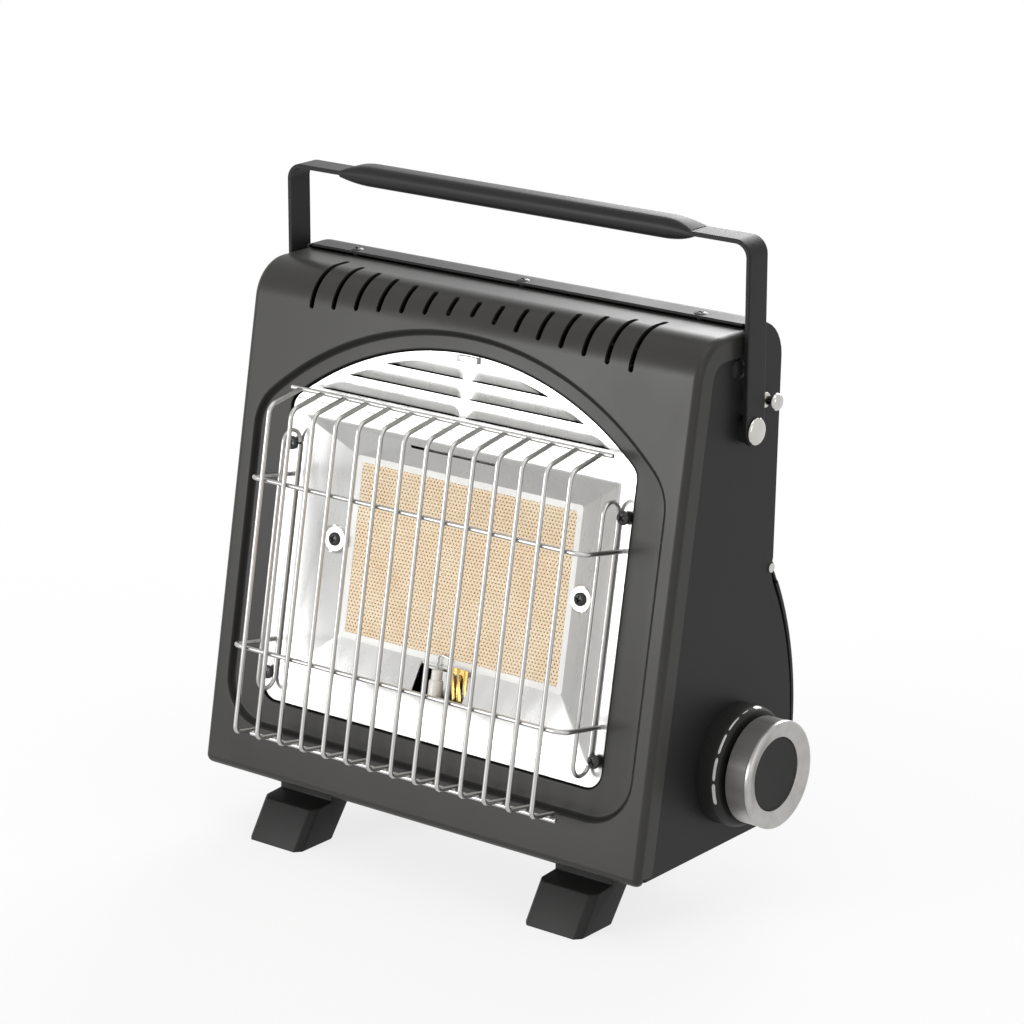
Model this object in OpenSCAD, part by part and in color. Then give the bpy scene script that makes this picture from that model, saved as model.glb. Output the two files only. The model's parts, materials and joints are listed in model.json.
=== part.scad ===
// Portable butane heater. Body axes: X across, Y to the back, Z up, with y = 0 and z = 0
// at the bottom front edge of the front panel. The place() module moves it onto its soles.

/* [Body] */
// Width over the side flanges of the front panel
body_w = 258; // [250:1:280]
// Height of the top strip above the underside of the body
body_h = 240.6; // [238:0.1:250]
// Backward lean of the front panel in degrees
lean = 10.5; // [9:0.5:11]
// Thickness of the body sheet
sheet_t = 1.2; // [1:0.1:1.4]
// Outer radius of the bend along the top front edge
top_bend_r = 20; // [18:1:22]
// Outer radius of the bend along the bottom front edge
low_bend_r = 4; // [3:0.5:5]
// Outer radius of the folded side edges
edge_r = 3.5; // [2.5:0.5:4]
// Depth of the side flanges of the front panel
flange_d = 11; // [9:1:13]
// Depth of the lip folded back under the body
lip_d = 38; // [34:1:42]
// Place of the seam on top, where the top strip starts
seam_y = 79; // [77:1:80]
// Rearmost place of the rear panel, near the top
rear_y = 106.4; // [105:0.2:108]
// How far the rear panel leans in from top to bottom
rear_lean = 3.2; // [2.5:0.1:4]
// Outer radius of the rear top bend
rear_bend_r = 18; // [16:1:20]
// Height of the lower edge of the rear panel
rear_low_z = 128.4; // [128:0.1:129]

/* [Recess and opening] */
// Half width of the pressed recess
recess_w = 119.5; // [118:0.5:120]
// Depth of the pressed recess
recess_d = 3; // [2:0.5:4]
// Lower edge of the recess along the panel
recess_s = 24.5; // [22:0.5:28]
// Height of the arch centre along the panel
arch_s = 62.7; // [60:0.5:64]
// Radius of the recess arch
recess_arch_r = 165.3; // [163:0.1:167]
// Radius of the recess shoulders
recess_shoulder_r = 25; // [22:1:28]
// Radius of the lower recess corners
recess_corner_r = 22; // [18:1:24]
// Half width of the opening
open_w = 100; // [99:0.5:102]
// Lower edge of the opening along the panel
open_s = 38.5; // [37:0.5:40]
// Radius of the opening arch
open_arch_r = 155.8; // [154:0.1:157]
// Corner radius of the opening
open_r = 8; // [6:1:10]
// Number of slots over the top bend
slot_n = 15; // [9:2:17]
// Distance between the slots
slot_pitch = 13.2; // [12:0.2:14]
// Width of a slot
slot_w = 2.4; // [2:0.1:3]
// How far the middle slots start above the foot of the top bend
slot_mid_up = 9.2; // [7:0.2:11]
// How far the outermost slots start below the foot of the top bend
slot_end_down = 1.2; // [0:0.2:3]
// Rear end of the middle slots
slot_mid_y = 52; // [50:0.5:56]
// Rear end of the outermost slots
slot_end_y = 68.5; // [64:0.5:70]

/* [Reflector and fascia] */
// Thickness of the bright sheet
bright_t = 0.8; // [0.6:0.1:1]
// How far the bright sheets reach behind the front panel
bright_lap = 6; // [5:0.5:7]
// Seam between the reflector and the louvred fascia, along the panel
fascia_s = 183; // [181:0.5:184]
// Half width of the reflector at its inner fold
fold_w = 91.5; // [90:0.5:92]
// Lower fold of the reflector along the panel
fold_s0 = 48.5; // [47:0.5:50]
// Upper fold of the reflector along the panel
fold_s1 = 175.5; // [174:0.5:177]
// Depth of the reflector floor behind the panel face
floor_n = 14; // [13.5:0.1:14.5]
// Distance between the rows of louvres
louvre_pitch = 8.65; // [8:0.05:9]
// Height of a louvre slot
louvre_h = 5.4; // [4:0.2:6]
// How far the louvre hoods reach inwards
hood_d = 4; // [3:0.5:5]
// Half width of the rib between the louvres
rib_w = 2; // [1.5:0.5:3]
// Side distance of the burner screws
burner_screw_x = 72.3; // [72:0.1:73]
// Height of the burner screws along the panel
burner_screw_s = 119.5; // [115:0.5:124]
// Side distance of the reflector screws
guard_screw_x = 96.6; // [96:0.1:97]
// Heights of the reflector screws along the panel
guard_screw_s = [51.3, 161.5];

/* [Burner] */
// Width of the ceramic tile
tile_w = 136; // [134:0.5:137]
// Height of the ceramic tile
tile_h = 91; // [89:0.5:92]
// Thickness of the ceramic tile
tile_t = 13; // [12:0.5:13.5]
// Height of the tile centre along the panel
tile_s = 117.3; // [116.5:0.1:118]
// Hidden margin of the tile behind the reflector floor
tile_lap = 2; // [1.5:0.1:2.5]
// Thickness of the gasket around the tile
gasket_t = 1; // [0.8:0.1:1]
// Depth of the burner box behind the panel face
box_n = 30; // [29.5:0.1:30.5]
// Depth of the distributor behind the panel face
dome_n = 42; // [40:0.5:43]
// Outer radius of the mixing tube
tube_r = 9; // [8:0.5:10]
// Wall of the mixing tube
tube_t = 1; // [0.8:0.1:1.2]
// Place of the mixing tube axis, from front to back
tube_y = 76; // [75:0.5:78]
// Height of the mixing tube axis
tube_z = 116; // [114:0.5:117]
// Closed end of the mixing tube
tube_x0 = -34; // [-40:1:-30]
// Open end of the mixing tube
tube_x1 = 85; // [80:1:86]
// Side place of the stub between tube and distributor
stub_x = -20; // [-22:1:0]

/* [Guard] */
// Number of upright guard wires
upright_n = 14; // [8:2:14]
// Distance between the upright wires
upright_pitch = 13.46; // [12:0.02:13.6]
// Radius of the guard wire
wire_r = 1.25; // [1.1:0.05:1.35]
// Distance of the uprights in front of the panel
guard_h = 28; // [26:0.5:29]
// Lower end of the guard along the panel
guard_s0 = 27; // [26:0.5:28]
// Upper end of the guard along the panel
guard_s1 = 188.5; // [187:0.5:189]
// Distance of the bottom rod in front of the panel
low_rod_h = 13; // [12:0.5:14]
// Distance of the top rod in front of the panel
top_rod_h = 7; // [6:0.5:8]
// Heights of the two cross wires along the panel
cross_s = [67, 146.5];
// Half width of the cross wires
cross_w = 97; // [96.5:0.1:97.5]

/* [Handle] */
// Place of the handle pivot, from front to back
pivot_y = 79; // [78:0.5:80]
// Distance of the handle pivot below the top strip
pivot_drop = 46.6; // [45:0.2:48]
// Radius of the handle rivets
rivet_r = 3; // [2.5:0.1:3.2]
// Running clearance of a pin in its bore, on the radius
run_gap = 0.05; // [0.03:0.01:0.08]
// Width of the bail strip
bail_w = 14; // [12:0.5:15]
// Thickness of the bail strip
bail_t = 2; // [1.8:0.1:2.4]
// Gap between the side panel and the bail
bail_gap = 3.7; // [3.3:0.1:4]
// Height of the bail above its pivot
bail_h = 87; // [86:0.5:90]
// Corner radius of the bail
bail_r = 8; // [6:1:10]
// Half length of the rolled grip
grip_l = 101; // [96:1:106]
// Height of the rolled grip section
grip_h = 9.7; // [9:0.1:10]
// Radius of the grip section corners
grip_r = 4.4; // [4:0.1:4.5]

/* [Knob and gas train] */
// Place of the knob and cartridge axis, from front to back
axis_y = 73.3; // [72:0.1:74]
// Height of the knob and cartridge axis
axis_z = 38.8; // [38:0.1:39.5]
// Outer radius of the knob ring
knob_r = 25; // [23:0.5:26]
// Radius of the dark insert in the knob
insert_r = 17.1; // [15:0.1:19]
// Length of the knob ring
knob_l = 13.2; // [12:0.1:14]
// Radius of the dial bezel at the side panel
bezel_r = 28; // [27.5:0.5:30]
// Height of the dial bezel
bezel_h = 11.2; // [10:0.1:12]
// Gap between the bezel and the knob
knob_gap = 2.3; // [2.2:0.1:3]
// Travel of the knob when it is pressed
press_d = 2; // [1.5:0.1:2]
// Radius of the knob spindle
spindle_r = 4; // [3.5:0.1:4.2]
// Radius of the valve plunger
plunger_r = 2.5; // [2:0.1:2.8]
// Radius of the gas cartridge that the bay takes
can_r = 33.5; // [33:0.5:34]
// Length of the gas cartridge that the bay takes
can_l = 187; // [186:0.5:188]
// Radius of the cartridge collar socket
socket_r = 25; // [24:0.5:26]
// Depth of the cartridge collar socket
socket_d = 5; // [4:0.5:6]
// Radius of the seat behind the collar socket
seat_r = 22; // [21:0.5:23]
// Depth of the seat behind the collar socket
seat_d = 3; // [2.5:0.5:4]

/* [Feet and door] */
// Height of the feet under the body
foot_h = 30.8; // [28:0.2:34]
// Inner side of the front feet
front_foot_x = 66.8; // [60:0.2:68]
// Width of a foot
foot_w = 32.7; // [30:0.1:34]
// Inner side of the rear feet
rear_foot_x = 44; // [40:0.5:50]
// Outer radius of the curved cartridge door
door_r = 148; // [147.5:0.1:148.5]
// Rearmost place of the cartridge door
door_back_y = 123; // [122.8:0.1:123.3]
// Height of the centre of the door curve
door_c_z = 50; // [49.5:0.1:50.5]
// Radius of the door hinge pins
door_pin_r = 1.2; // [1:0.1:1.3]
// Radius of the rolled edge round the door pins
knuckle_r = 2.4; // [2.2:0.1:2.6]
// Height of the lower edge of the door
door_low_z = 8; // [7.5:0.1:8.5]

/* [Hidden] */
$fn = 48;
fit = 0.3;
touch = 0.1;
over = 1;
hw = body_w/2;
side_x = hw - sheet_t;
inner_x = side_x - sheet_t;
front_top = body_h - sheet_t;
pivot_z = body_h - pivot_drop;
bend_s = (front_top - top_bend_r + top_bend_r*sin(lean))/cos(lean);
bend_y = top_bend_r*cos(lean) + bend_s*sin(lean);
bend_z = front_top - top_bend_r;
low_y = low_bend_r*(1 + sin(lean))/cos(lean);
low_s = low_y;
sheet_n = recess_d + sheet_t;
bright_n = sheet_n + bright_t;
tongue_y = seam_y + 8;
tongue_w = hw - edge_r - 0.5;
wall_t = 0.8;
tile_n = floor_n + fit;
rim_n = floor_n + 2;
arch_top = arch_s + open_arch_r;
louvre_rows = [for (s = fascia_s + 6.5; s < arch_top - 11.5; s = s + louvre_pitch) s];
see_w = tile_w/2 - tile_lap;
see_s0 = tile_s - tile_h/2 + tile_lap;
see_s1 = tile_s + tile_h/2 - tile_lap;
box_w = tile_w/2 + gasket_t + wall_t;
box_s0 = tile_s - tile_h/2 - gasket_t - wall_t;
box_s1 = tile_s + tile_h/2 + gasket_t + wall_t;
rim_lap = 6;
dome_w = 50;
dome_s0 = 97;
dome_s1 = 148;
stub_r = tube_r - 1;
tube_n = tube_y*cos(lean) - tube_z*sin(lean);
tube_s = tube_y*sin(lean) + tube_z*cos(lean);
door_in_r = door_r - sheet_t;
panel_arc_r = door_in_r - 2.2;
door_c_y = door_back_y - door_r;
pin_in = 1.6;
pin_z = rear_low_z - 4.2;
pin_y = door_c_y + sqrt(pow(door_r - pin_in, 2) - pow(pin_z - door_c_z, 2));
ear_r = 2.9;
pin_a = atan2(pin_z - door_c_z, pin_y - door_c_y);
door_a0 = asin((door_low_z - door_c_z)/door_r);
rim_a = pin_a - 3.95;
floor_z = sheet_t;
plate_z = 2*sheet_t;
plate_y0 = 8;
plate_y1 = 110;
can_x0 = -inner_x + 2.6;
port_x = can_x0 + can_l + seat_d;
mouth_x = port_x - seat_d - socket_d;
port_back = 3;
bracket_x = port_x + port_back;
bracket_t = 1.5;
reg_x = bracket_x + bracket_t;
reg_l = 12;
cap_x = reg_x + reg_l;
cap_l = 6;
valve_x = cap_x + cap_l;
valve_l = 26;
valve_h = 13;
boss_x = valve_x + valve_l;
boss_l = 8;
boss_r = 7;
bore_x = boss_x - 12;
bezel_x = side_x + bezel_h;
ring_x = bezel_x + knob_gap;
knob_x = ring_x + knob_l;
bail_x = side_x + bail_gap;
bail_out = bail_x + bail_t;
stud_y = pivot_y + 13.7;
stud_z = pivot_z + 10.7;
stud_head_x = bail_out + 1;
stud_tip_x = stud_head_x + 2.5;
shield_r = can_r + 3.1;
cradle_r = can_r + 0.7;
electrode_x = -2.5;
electrode_n = rim_n - 3.6;
probe_x = 8;
probe_n = rim_n - 1.9;
top_screw_x = hw - 29;
top_screw_y = seam_y + 4;
foot_screw_y = 30;
rear_screw_y = 84;
rear_turn = 110.2;
dome_y = pivot_y - 6;
dome_z = body_h - 18.1;
inj_x = tube_x1 + 12;
inj_r = 6;
inj_nozzle_r = 3;
pipe_x = inj_x + 7;
pipe_r = 2.5;
safety_r = 7;
safety_x = valve_x + 13;
ceramic_s0 = 46;
ceramic_s1 = 71;
probe_s0 = 48;
plate_half = can_r - 0.5;
plate_top = axis_z + can_r + 5.7;
lead_r = 1.3;
lead_z = plate_z + lead_r + touch;
lead_path = [[6, 14, lead_z], [98, 14, lead_z], [112, 24, lead_z], [112, 46, 8], [safety_x, 54, 18],
    [safety_x, axis_y - 9, 18]];
probe_path = [[18, 23, lead_z], [82, 23, lead_z], [safety_x, 26, 12], [safety_x, 26, axis_z],
    [safety_x, axis_y - valve_h - 19, axis_z]];
clip_x = 93.2;
clip_r = 1;
rear_y_min = rear_y - rear_lean;
front_y = -(guard_h + wire_r)*cos(lean) + (guard_s0 + 3)*sin(lean);
back_y = door_back_y;

// Moves the body onto the floor with its outline centred on the origin.
module place() {
    translate([(stud_tip_x - knob_x)/2, -(front_y + back_y)/2, foot_h]) children();
}

// The leaning frame of the front panel: x across, y into the body, z up along the panel.
module leaning() { rotate([-lean, 0, 0]) children(); }

// A prism along X from an outline given in y and z.
module along_x(x0, x1, pts) {
    translate([x0, 0, 0]) rotate([90, 0, 90]) linear_extrude(x1 - x0) polygon(pts);
}

// A prism into the body from an outline given across and up the front panel.
module inward(n0, n1, pts) {
    translate([0, n1, 0]) rotate([90, 0, 0]) linear_extrude(n1 - n0) polygon(pts);
}

// A cylinder along X.
module rod_x(x0, x1, r, y, z) { translate([x0, y, z]) rotate([0, 90, 0]) cylinder(h = x1 - x0, r = r); }

// A cylinder into the body, in the leaning frame.
module rod_n(n0, n1, r, x, s) { translate([x, n0, s]) rotate([-90, 0, 0]) cylinder(h = n1 - n0, r = r); }

module both() {
    children();
    mirror([1, 0, 0]) children();
}

function arc(c, r, a0, a1, steps = 8) =
    [for (i = [0:steps]) let (a = a0 + (a1 - a0)*i/steps) c + r*[cos(a), sin(a)]];

function flip(pts) = [for (i = [len(pts) - 1:-1:0]) [-pts[i].x, pts[i].y]];

function yz(n, s) = [n*cos(lean) + s*sin(lean), -n*sin(lean) + s*cos(lean)];

function world(x, n, s) = let (p = yz(n, s)) [x, p.x, p.y];

// An outline with straight sides, an arch on top and round shoulders and lower corners.
function arched(w, s0, arch_r, shoulder_r, corner_r, grow) =
    let (cx = w - shoulder_r,
         cs = arch_s + sqrt(pow(arch_r - shoulder_r, 2) - cx*cx),
         a = atan2(cs - arch_s, cx),
         half = concat(arc([w - corner_r, s0 + corner_r], corner_r + grow, -90, 0, 6),
                       arc([cx, cs], shoulder_r + grow, 0, a, 6),
                       arc([0, arch_s], arch_r + grow, a + 2, 89, 10)))
    concat(half, flip(half));

function recess_line(grow) =
    arched(recess_w, recess_s, recess_arch_r, recess_shoulder_r, recess_corner_r, grow);

function opening_line(grow) = arched(open_w, open_s, open_arch_r, open_r, open_r, grow);

function box_line(w, s0, s1, r) =
    let (half = concat(arc([w - r, s0 + r], r, -90, 0, 4), arc([w - r, s1 - r], r, 0, 90, 4)))
    concat(half, flip(half));

// A path with its inner corners rounded to the bend radius.
function unit(v) = v/norm(v);

function bend(a, b, c, r, steps) =
    let (u = unit(a - b), v = unit(c - b), half = acos(u*v)/2, reach = r/tan(half),
         m = b + unit(u + v)*r/sin(half), p = b + u*reach - m, q = b + v*reach - m,
         turn = acos(unit(p)*unit(q)))
    [for (i = [0:steps]) let (k = turn*i/steps) m + p*sin(turn - k)/sin(turn) + q*sin(k)/sin(turn)];

function bent(pts, r, steps = 4) =
    concat([pts[0]],
           [for (i = [1:len(pts) - 2]) each bend(pts[i - 1], pts[i], pts[i + 1], r, steps)],
           [pts[len(pts) - 1]]);

function heading(p, i) =
    i == 0 ? unit(p[1] - p[0])
    : i == len(p) - 1 ? unit(p[i] - p[i - 1])
    : unit(unit(p[i + 1] - p[i]) + unit(p[i] - p[i - 1]));

function sides(p, u, i = 0) =
    i >= len(p) ? []
    : let (t = heading(p, i), v = unit(u - (u*t)*t)) concat([v], sides(p, v, i + 1));

// A round wire or pipe along a path; up is any direction across its first run.
module wire(p, r, up, n = 8) {
    v = sides(p, up);
    points = [for (i = [0:len(p) - 1]) let (w = cross(heading(p, i), v[i]))
        for (k = [0:n - 1]) p[i] + r*(cos(360*k/n)*v[i] + sin(360*k/n)*w)];
    skin = [for (i = [0:len(p) - 2]) for (k = [0:n - 1])
        let (a = i*n + k, b = i*n + (k + 1)%n) each [[a, b, a + n], [b, b + n, a + n]]];
    last = (len(p) - 1)*n;
    polyhedron(points, concat(skin, [[for (k = [n - 1:-1:0]) k]], [[for (k = [0:n - 1]) last + k]]));
}

// Cross section of the front panel: across, and inwards from its face.
function channel() =
    let (ri = edge_r - sheet_t,
         half = concat([[side_x, flange_d], [hw, flange_d]], arc([hw - edge_r, edge_r], edge_r, 0, -90, 5)),
         inner = arc([hw - edge_r, edge_r], ri, -90, 0, 5))
    concat(half, flip(half), flip(inner), inner);

// The lip and its bend, with a core that runs up inside the sheet of the panel.
function lip_line() =
    let (c = [low_y, low_bend_r], core = 0.2, up = low_s + 3)
    concat([[lip_d, 0]], arc(c, low_bend_r, 270, 180 - lean, 8),
           [yz(core, low_s), yz(core, up), yz(sheet_t - core, up), yz(sheet_t - core, low_s)],
           arc(c, low_bend_r - sheet_t, 180 - lean, 270, 8), [[lip_d, sheet_t]]);

module front_sweep() {
    leaning() translate([0, 0, low_s]) linear_extrude(bend_s - low_s) polygon(channel());
    translate([0, bend_y, bend_z]) rotate([0, 90, 0]) rotate([0, 0, 180])
        rotate_extrude(angle = 90 - lean) polygon([for (p = channel()) [top_bend_r - p.y, p.x]]);
    translate([0, seam_y, front_top]) rotate([90, 0, 0]) linear_extrude(seam_y - bend_y)
        polygon([for (p = channel()) [p.x, -p.y]]);
    along_x(edge_r - hw, hw - edge_r, lip_line());
    translate([-tongue_w, seam_y, front_top - sheet_t]) cube([2*tongue_w, tongue_y - seam_y, sheet_t]);
}

// The slots run over the bend and grow longer towards the sides.
module top_slots() {
    last = (slot_n - 1)/2;
    for (i = [-last:last]) {
        k = abs(i)/last;
        s0 = bend_s + slot_mid_up - (slot_mid_up + slot_end_down)*k;
        y1 = slot_mid_y + (slot_end_y - slot_mid_y)*k*k;
        x = i*slot_pitch;
        along_x(x - slot_w/2, x + slot_w/2, [yz(-over, s0), yz(8, s0), [y1, front_top - 5],
            [y1, front_top + over], [bend_y - top_bend_r, front_top + over]]);
    }
}

module screw_tab(s) {
    tab_w = 6;
    translate([open_w - 8, bright_n, s - tab_w]) cube([20, sheet_t, 2*tab_w]);
    translate([open_w + bright_lap + fit, sheet_n, s - tab_w])
        cube([12 - bright_lap - fit, bright_t, 2*tab_w]);
}

module front_panel() {
    color("#4b4a47") difference() {
        union() {
            difference() {
                front_sweep();
                leaning() inward(-over, sheet_t + over, recess_line(0));
                top_slots();
            }
            leaning() difference() {
                inward(0.5, sheet_n, recess_line(sheet_t));
                inward(-over, recess_d, recess_line(0));
                inward(recess_d - over, sheet_n + over, opening_line(0));
            }
            leaning() both() for (s = guard_screw_s) screw_tab(s);
        }
        leaning() both() for (s = guard_screw_s) rod_n(sheet_n, 12, 1.6, guard_screw_x, s);
        for (x = [-1:1]) translate([x*top_screw_x, top_screw_y, front_top - 4]) cylinder(h = 8, r = 1.6);
        both() translate([front_foot_x + foot_w/2, foot_screw_y, -over]) cylinder(h = 4, r = 2.1);
    }
}

// Outer line of the rear panel from the top strip down, moved inwards.
function rear_line(inset) =
    let (c = [rear_y - rear_bend_r, body_h - rear_bend_r])
    concat(arc(c, rear_bend_r - inset, 90, 0, 8), [[rear_y_min - inset, rear_low_z]]);

function backwards(pts) = [for (i = [len(pts) - 1:-1:0]) pts[i]];

module rear_panel() {
    vent_n = 7;
    color("#2b2a29") difference() {
        union() {
            along_x(-inner_x, inner_x, concat([[seam_y + touch, body_h]], rear_line(0),
                [[rear_y_min - 8, rear_low_z], [rear_y_min - 8, rear_low_z + sheet_t],
                 [rear_y_min - sheet_t, rear_low_z + sheet_t]],
                backwards([for (p = rear_line(sheet_t)) if (p.y > rear_low_z + sheet_t) p]),
                [[seam_y + touch, body_h - sheet_t]]));
            both() along_x(inner_x - sheet_t, inner_x, concat(
                [for (p = rear_line(sheet_t)) if (p.y > rear_low_z + sheet_t) p],
                [[rear_y_min - sheet_t, rear_low_z + sheet_t], [rear_y_min - 8, rear_low_z + sheet_t]],
                backwards([for (p = rear_line(9)) if (p.y > rear_low_z + sheet_t) p])));
        }
        for (x = [-1:1]) translate([x*top_screw_x, top_screw_y, body_h - 4]) cylinder(h = 8, r = 1.6);
        for (k = [-1, 1]) for (i = [0:vent_n - 1])
            along_x(k*52 - 28, k*52 + 28, [for (d = [[-9, -1.5], [9, -1.5], [9, 1.5], [-9, 1.5]])
                [rear_y, 165 + i*8] + d]);
    }
}

// Outline of a side panel: inside the front flange, under the seam, round the back.
function side_line() =
    let (e = edge_r + 0.1, z0 = plate_z,
         c = [rear_y - rear_bend_r, body_h - rear_bend_r])
    concat([[(e + z0*sin(lean))/cos(lean), z0]],
           arc([bend_y, bend_z], top_bend_r - e, 180 - lean, 90, 8),
           [[seam_y + fit, front_top - e], [seam_y + fit, body_h]],
           arc(c, rear_bend_r, 90, 0, 8),
           [[rear_y_min, rear_low_z]],
           arc([pin_y, pin_z], ear_r, 60, -75, 6),
           arc([door_c_y, door_c_z], panel_arc_r, pin_a - 3, asin((z0 - door_c_z)/panel_arc_r), 12));

module side_panel(right) {
    k = right ? 1 : -1;
    x0 = right ? inner_x : -side_x;
    color("#2b2a2a") difference() {
        union() {
            along_x(x0, x0 + sheet_t, side_line());
            translate([k*side_x, dome_y, dome_z]) rotate([0, k*90, 0]) rotate_extrude()
                polygon([[0, 0], [4.8, 0], [4.2, 0.9], [2.6, 1.4], [0, 1.6]]);
        }
        rod_x(x0 - over, x0 + sheet_t + over, rivet_r + run_gap, pivot_y, pivot_z);
        rod_x(x0 - over, x0 + sheet_t + over, 2.1, stud_y, stud_z);
        rod_x(x0 - over, x0 + sheet_t + over, door_pin_r, pin_y, pin_z);
        if (right) rod_x(x0 - over, x0 + sheet_t + over, boss_r + 1, axis_y, axis_z);
    }
}

module side_panel_left() { side_panel(false); }

module side_panel_right() { side_panel(true); }

module base_plate() {
    tab_h = 10;
    color("#333231") difference() {
        union() {
            translate([-side_x, plate_y0, floor_z]) cube([2*side_x, plate_y1 - plate_y0, sheet_t]);
            both() translate([inner_x - sheet_t, plate_y0 + 6, plate_z])
                cube([sheet_t, plate_y1 - plate_y0 - 12, tab_h]);
            translate([-inner_x + 4, plate_y1 - sheet_t, plate_z]) cube([2*inner_x - 8, sheet_t, 6.6]);
        }
        both() translate([front_foot_x + foot_w/2, foot_screw_y, 0]) cylinder(h = 5, r = 2.1);
        both() translate([rear_foot_x + foot_w/2, rear_screw_y, 0]) cylinder(h = 5, r = 2.1);
    }
}

// The door is a curved skin with a rolled top edge round the pins, side rims and a lower flange.
module cartridge_door() {
    c = [door_c_y, door_c_z];
    skin_w = inner_x - fit;
    skin_mid = door_r - sheet_t/2;
    color("#2b2a2a") difference() {
        union() {
            along_x(-side_x, side_x, concat(arc(c, door_r, door_a0, rim_a, 20),
                backwards(arc(c, door_in_r, door_a0, rim_a, 20))));
            along_x(-skin_w, skin_w, concat(arc(c, door_r, rim_a, pin_a - 0.3, 3),
                backwards(arc(c, door_in_r, rim_a, pin_a - 0.3, 3))));
            both() along_x(inner_x, side_x, concat(arc(c, skin_mid, door_a0, rim_a, 20),
                backwards(arc(c, panel_arc_r + fit, door_a0, rim_a, 20))));
            along_x(-skin_w, skin_w, concat(arc(c, skin_mid, door_a0, door_a0 + 0.5, 1),
                backwards(arc(c, door_r - 7, door_a0, door_a0 + 0.5, 1))));
            rod_x(-skin_w, skin_w, knuckle_r, pin_y, pin_z);
        }
        rod_x(-side_x - over, side_x + over, door_pin_r + run_gap, pin_y, pin_z);
    }
}

module door_pins() {
    color("silver") both() {
        rod_x(inner_x - 14, side_x, door_pin_r, pin_y, pin_z);
        rod_x(side_x, side_x + 0.8, 2.2, pin_y, pin_z);
    }
}

// A sprung clip on the rear lip of the base, under the flange of the door.
module door_catch() {
    color("silver") along_x(-10, 10, [[plate_y1, plate_z + 0.6], [plate_y1 + 0.8, plate_z + 0.6],
        [plate_y1 + 0.8, 7.6], [plate_y1 + 2.4, 8.3], [plate_y1 + 1.6, 9], [plate_y1, 8.2]]);
}

function arch_x(s, margin) = sqrt(pow(open_arch_r - margin, 2) - pow(s - arch_s, 2));

// A plate with three rows of louvres; each hood slopes inwards from the top of its slot.
module louvre_fascia() {
    end_margin = 3.8;
    tab_w = 6;
    tab_s = arch_top - 3.5;
    color("#d9dad8") leaning() {
        difference() {
            intersection() {
                inward(sheet_n, bright_n, opening_line(bright_lap));
                translate([-hw, 0, fascia_s]) cube([body_w, bright_n + over, arch_top]);
            }
            both() for (s = louvre_rows) {
                top = s + louvre_h;
                inward(0, 20, [[rib_w, s], [arch_x(s, end_margin), s],
                    [arch_x(top, end_margin), top], [rib_w, top]]);
            }
        }
        both() for (s = louvre_rows) {
            top = s + louvre_h;
            low_n = bright_n + hood_d;
            along_x(rib_w, arch_x(top, end_margin), [[bright_n - bright_t, top], [bright_n, top],
                [low_n, s + 1], [low_n - bright_t, s + 1]]);
        }
        translate([-tab_w, sheet_n - 2, tab_s]) cube([2*tab_w, 2, 3]);
        translate([-tab_w, sheet_n - 2, tab_s]) cube([2*tab_w, 0.7, 5.5]);
    }
}

module slab(w, s0, s1, n, t) { translate([-w, n, s0]) cube([2*w, t, s1 - s0]); }

// Solid tapering from the fold at the front to the see-through opening at the floor.
module funnel(grow, n0, n1) {
    hull() {
        slab(fold_w + grow, fold_s0 - grow, fold_s1 + grow, n0, 0.1);
        slab(see_w + grow, see_s0 - grow, see_s1 + grow, n1 - 0.1, 0.1);
    }
}

module reflector() {
    pad_r = 6;
    boss_out = 4;
    pad_n = 11;
    window_w = 15;
    window_s = 59;
    slot_s = 170.5;
    color("#d6d7d6") leaning() difference() {
        union() {
            inward(sheet_n, bright_n, box_line(open_w + bright_lap, open_s - bright_lap,
                fascia_s - fit, open_r));
            funnel(1.1, sheet_n, floor_n);
            both() rod_n(pad_n, floor_n, pad_r, burner_screw_x, burner_screw_s);
            both() rod_n(floor_n, rim_n, boss_out, burner_screw_x, burner_screw_s);
        }
        difference() {
            funnel(0, sheet_n - 0.1, floor_n + 0.1);
            both() rod_n(pad_n, rim_n + over, pad_r, burner_screw_x, burner_screw_s);
        }
        both() rod_n(0, pad_n, pad_r, burner_screw_x, burner_screw_s);
        both() rod_n(0, 30, 1.5, burner_screw_x, burner_screw_s);
        both() for (s = guard_screw_s) rod_n(0, 30, 1.6, guard_screw_x, s);
        translate([-window_w, 7, window_s]) cube([2*window_w, 7.6, see_s0 - window_s - 1]);
        translate([-30, 4.9, slot_s]) cube([50, 6, 1.4]);
    }
}

module ceramic_tile() {
    color("#e3c79c") leaning() slab(tile_w/2, tile_s - tile_h/2, tile_s + tile_h/2, tile_n, tile_t);
}

module tile_gasket() {
    w = tile_w/2 + gasket_t;
    h = tile_h/2 + gasket_t;
    n0 = rim_n + 1;
    color("#e8e6df") leaning() difference() {
        slab(w, tile_s - h, tile_s + h, n0, tile_n + tile_t - n0);
        slab(tile_w/2, tile_s - tile_h/2, tile_s + tile_h/2, rim_n, 20);
    }
}

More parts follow.
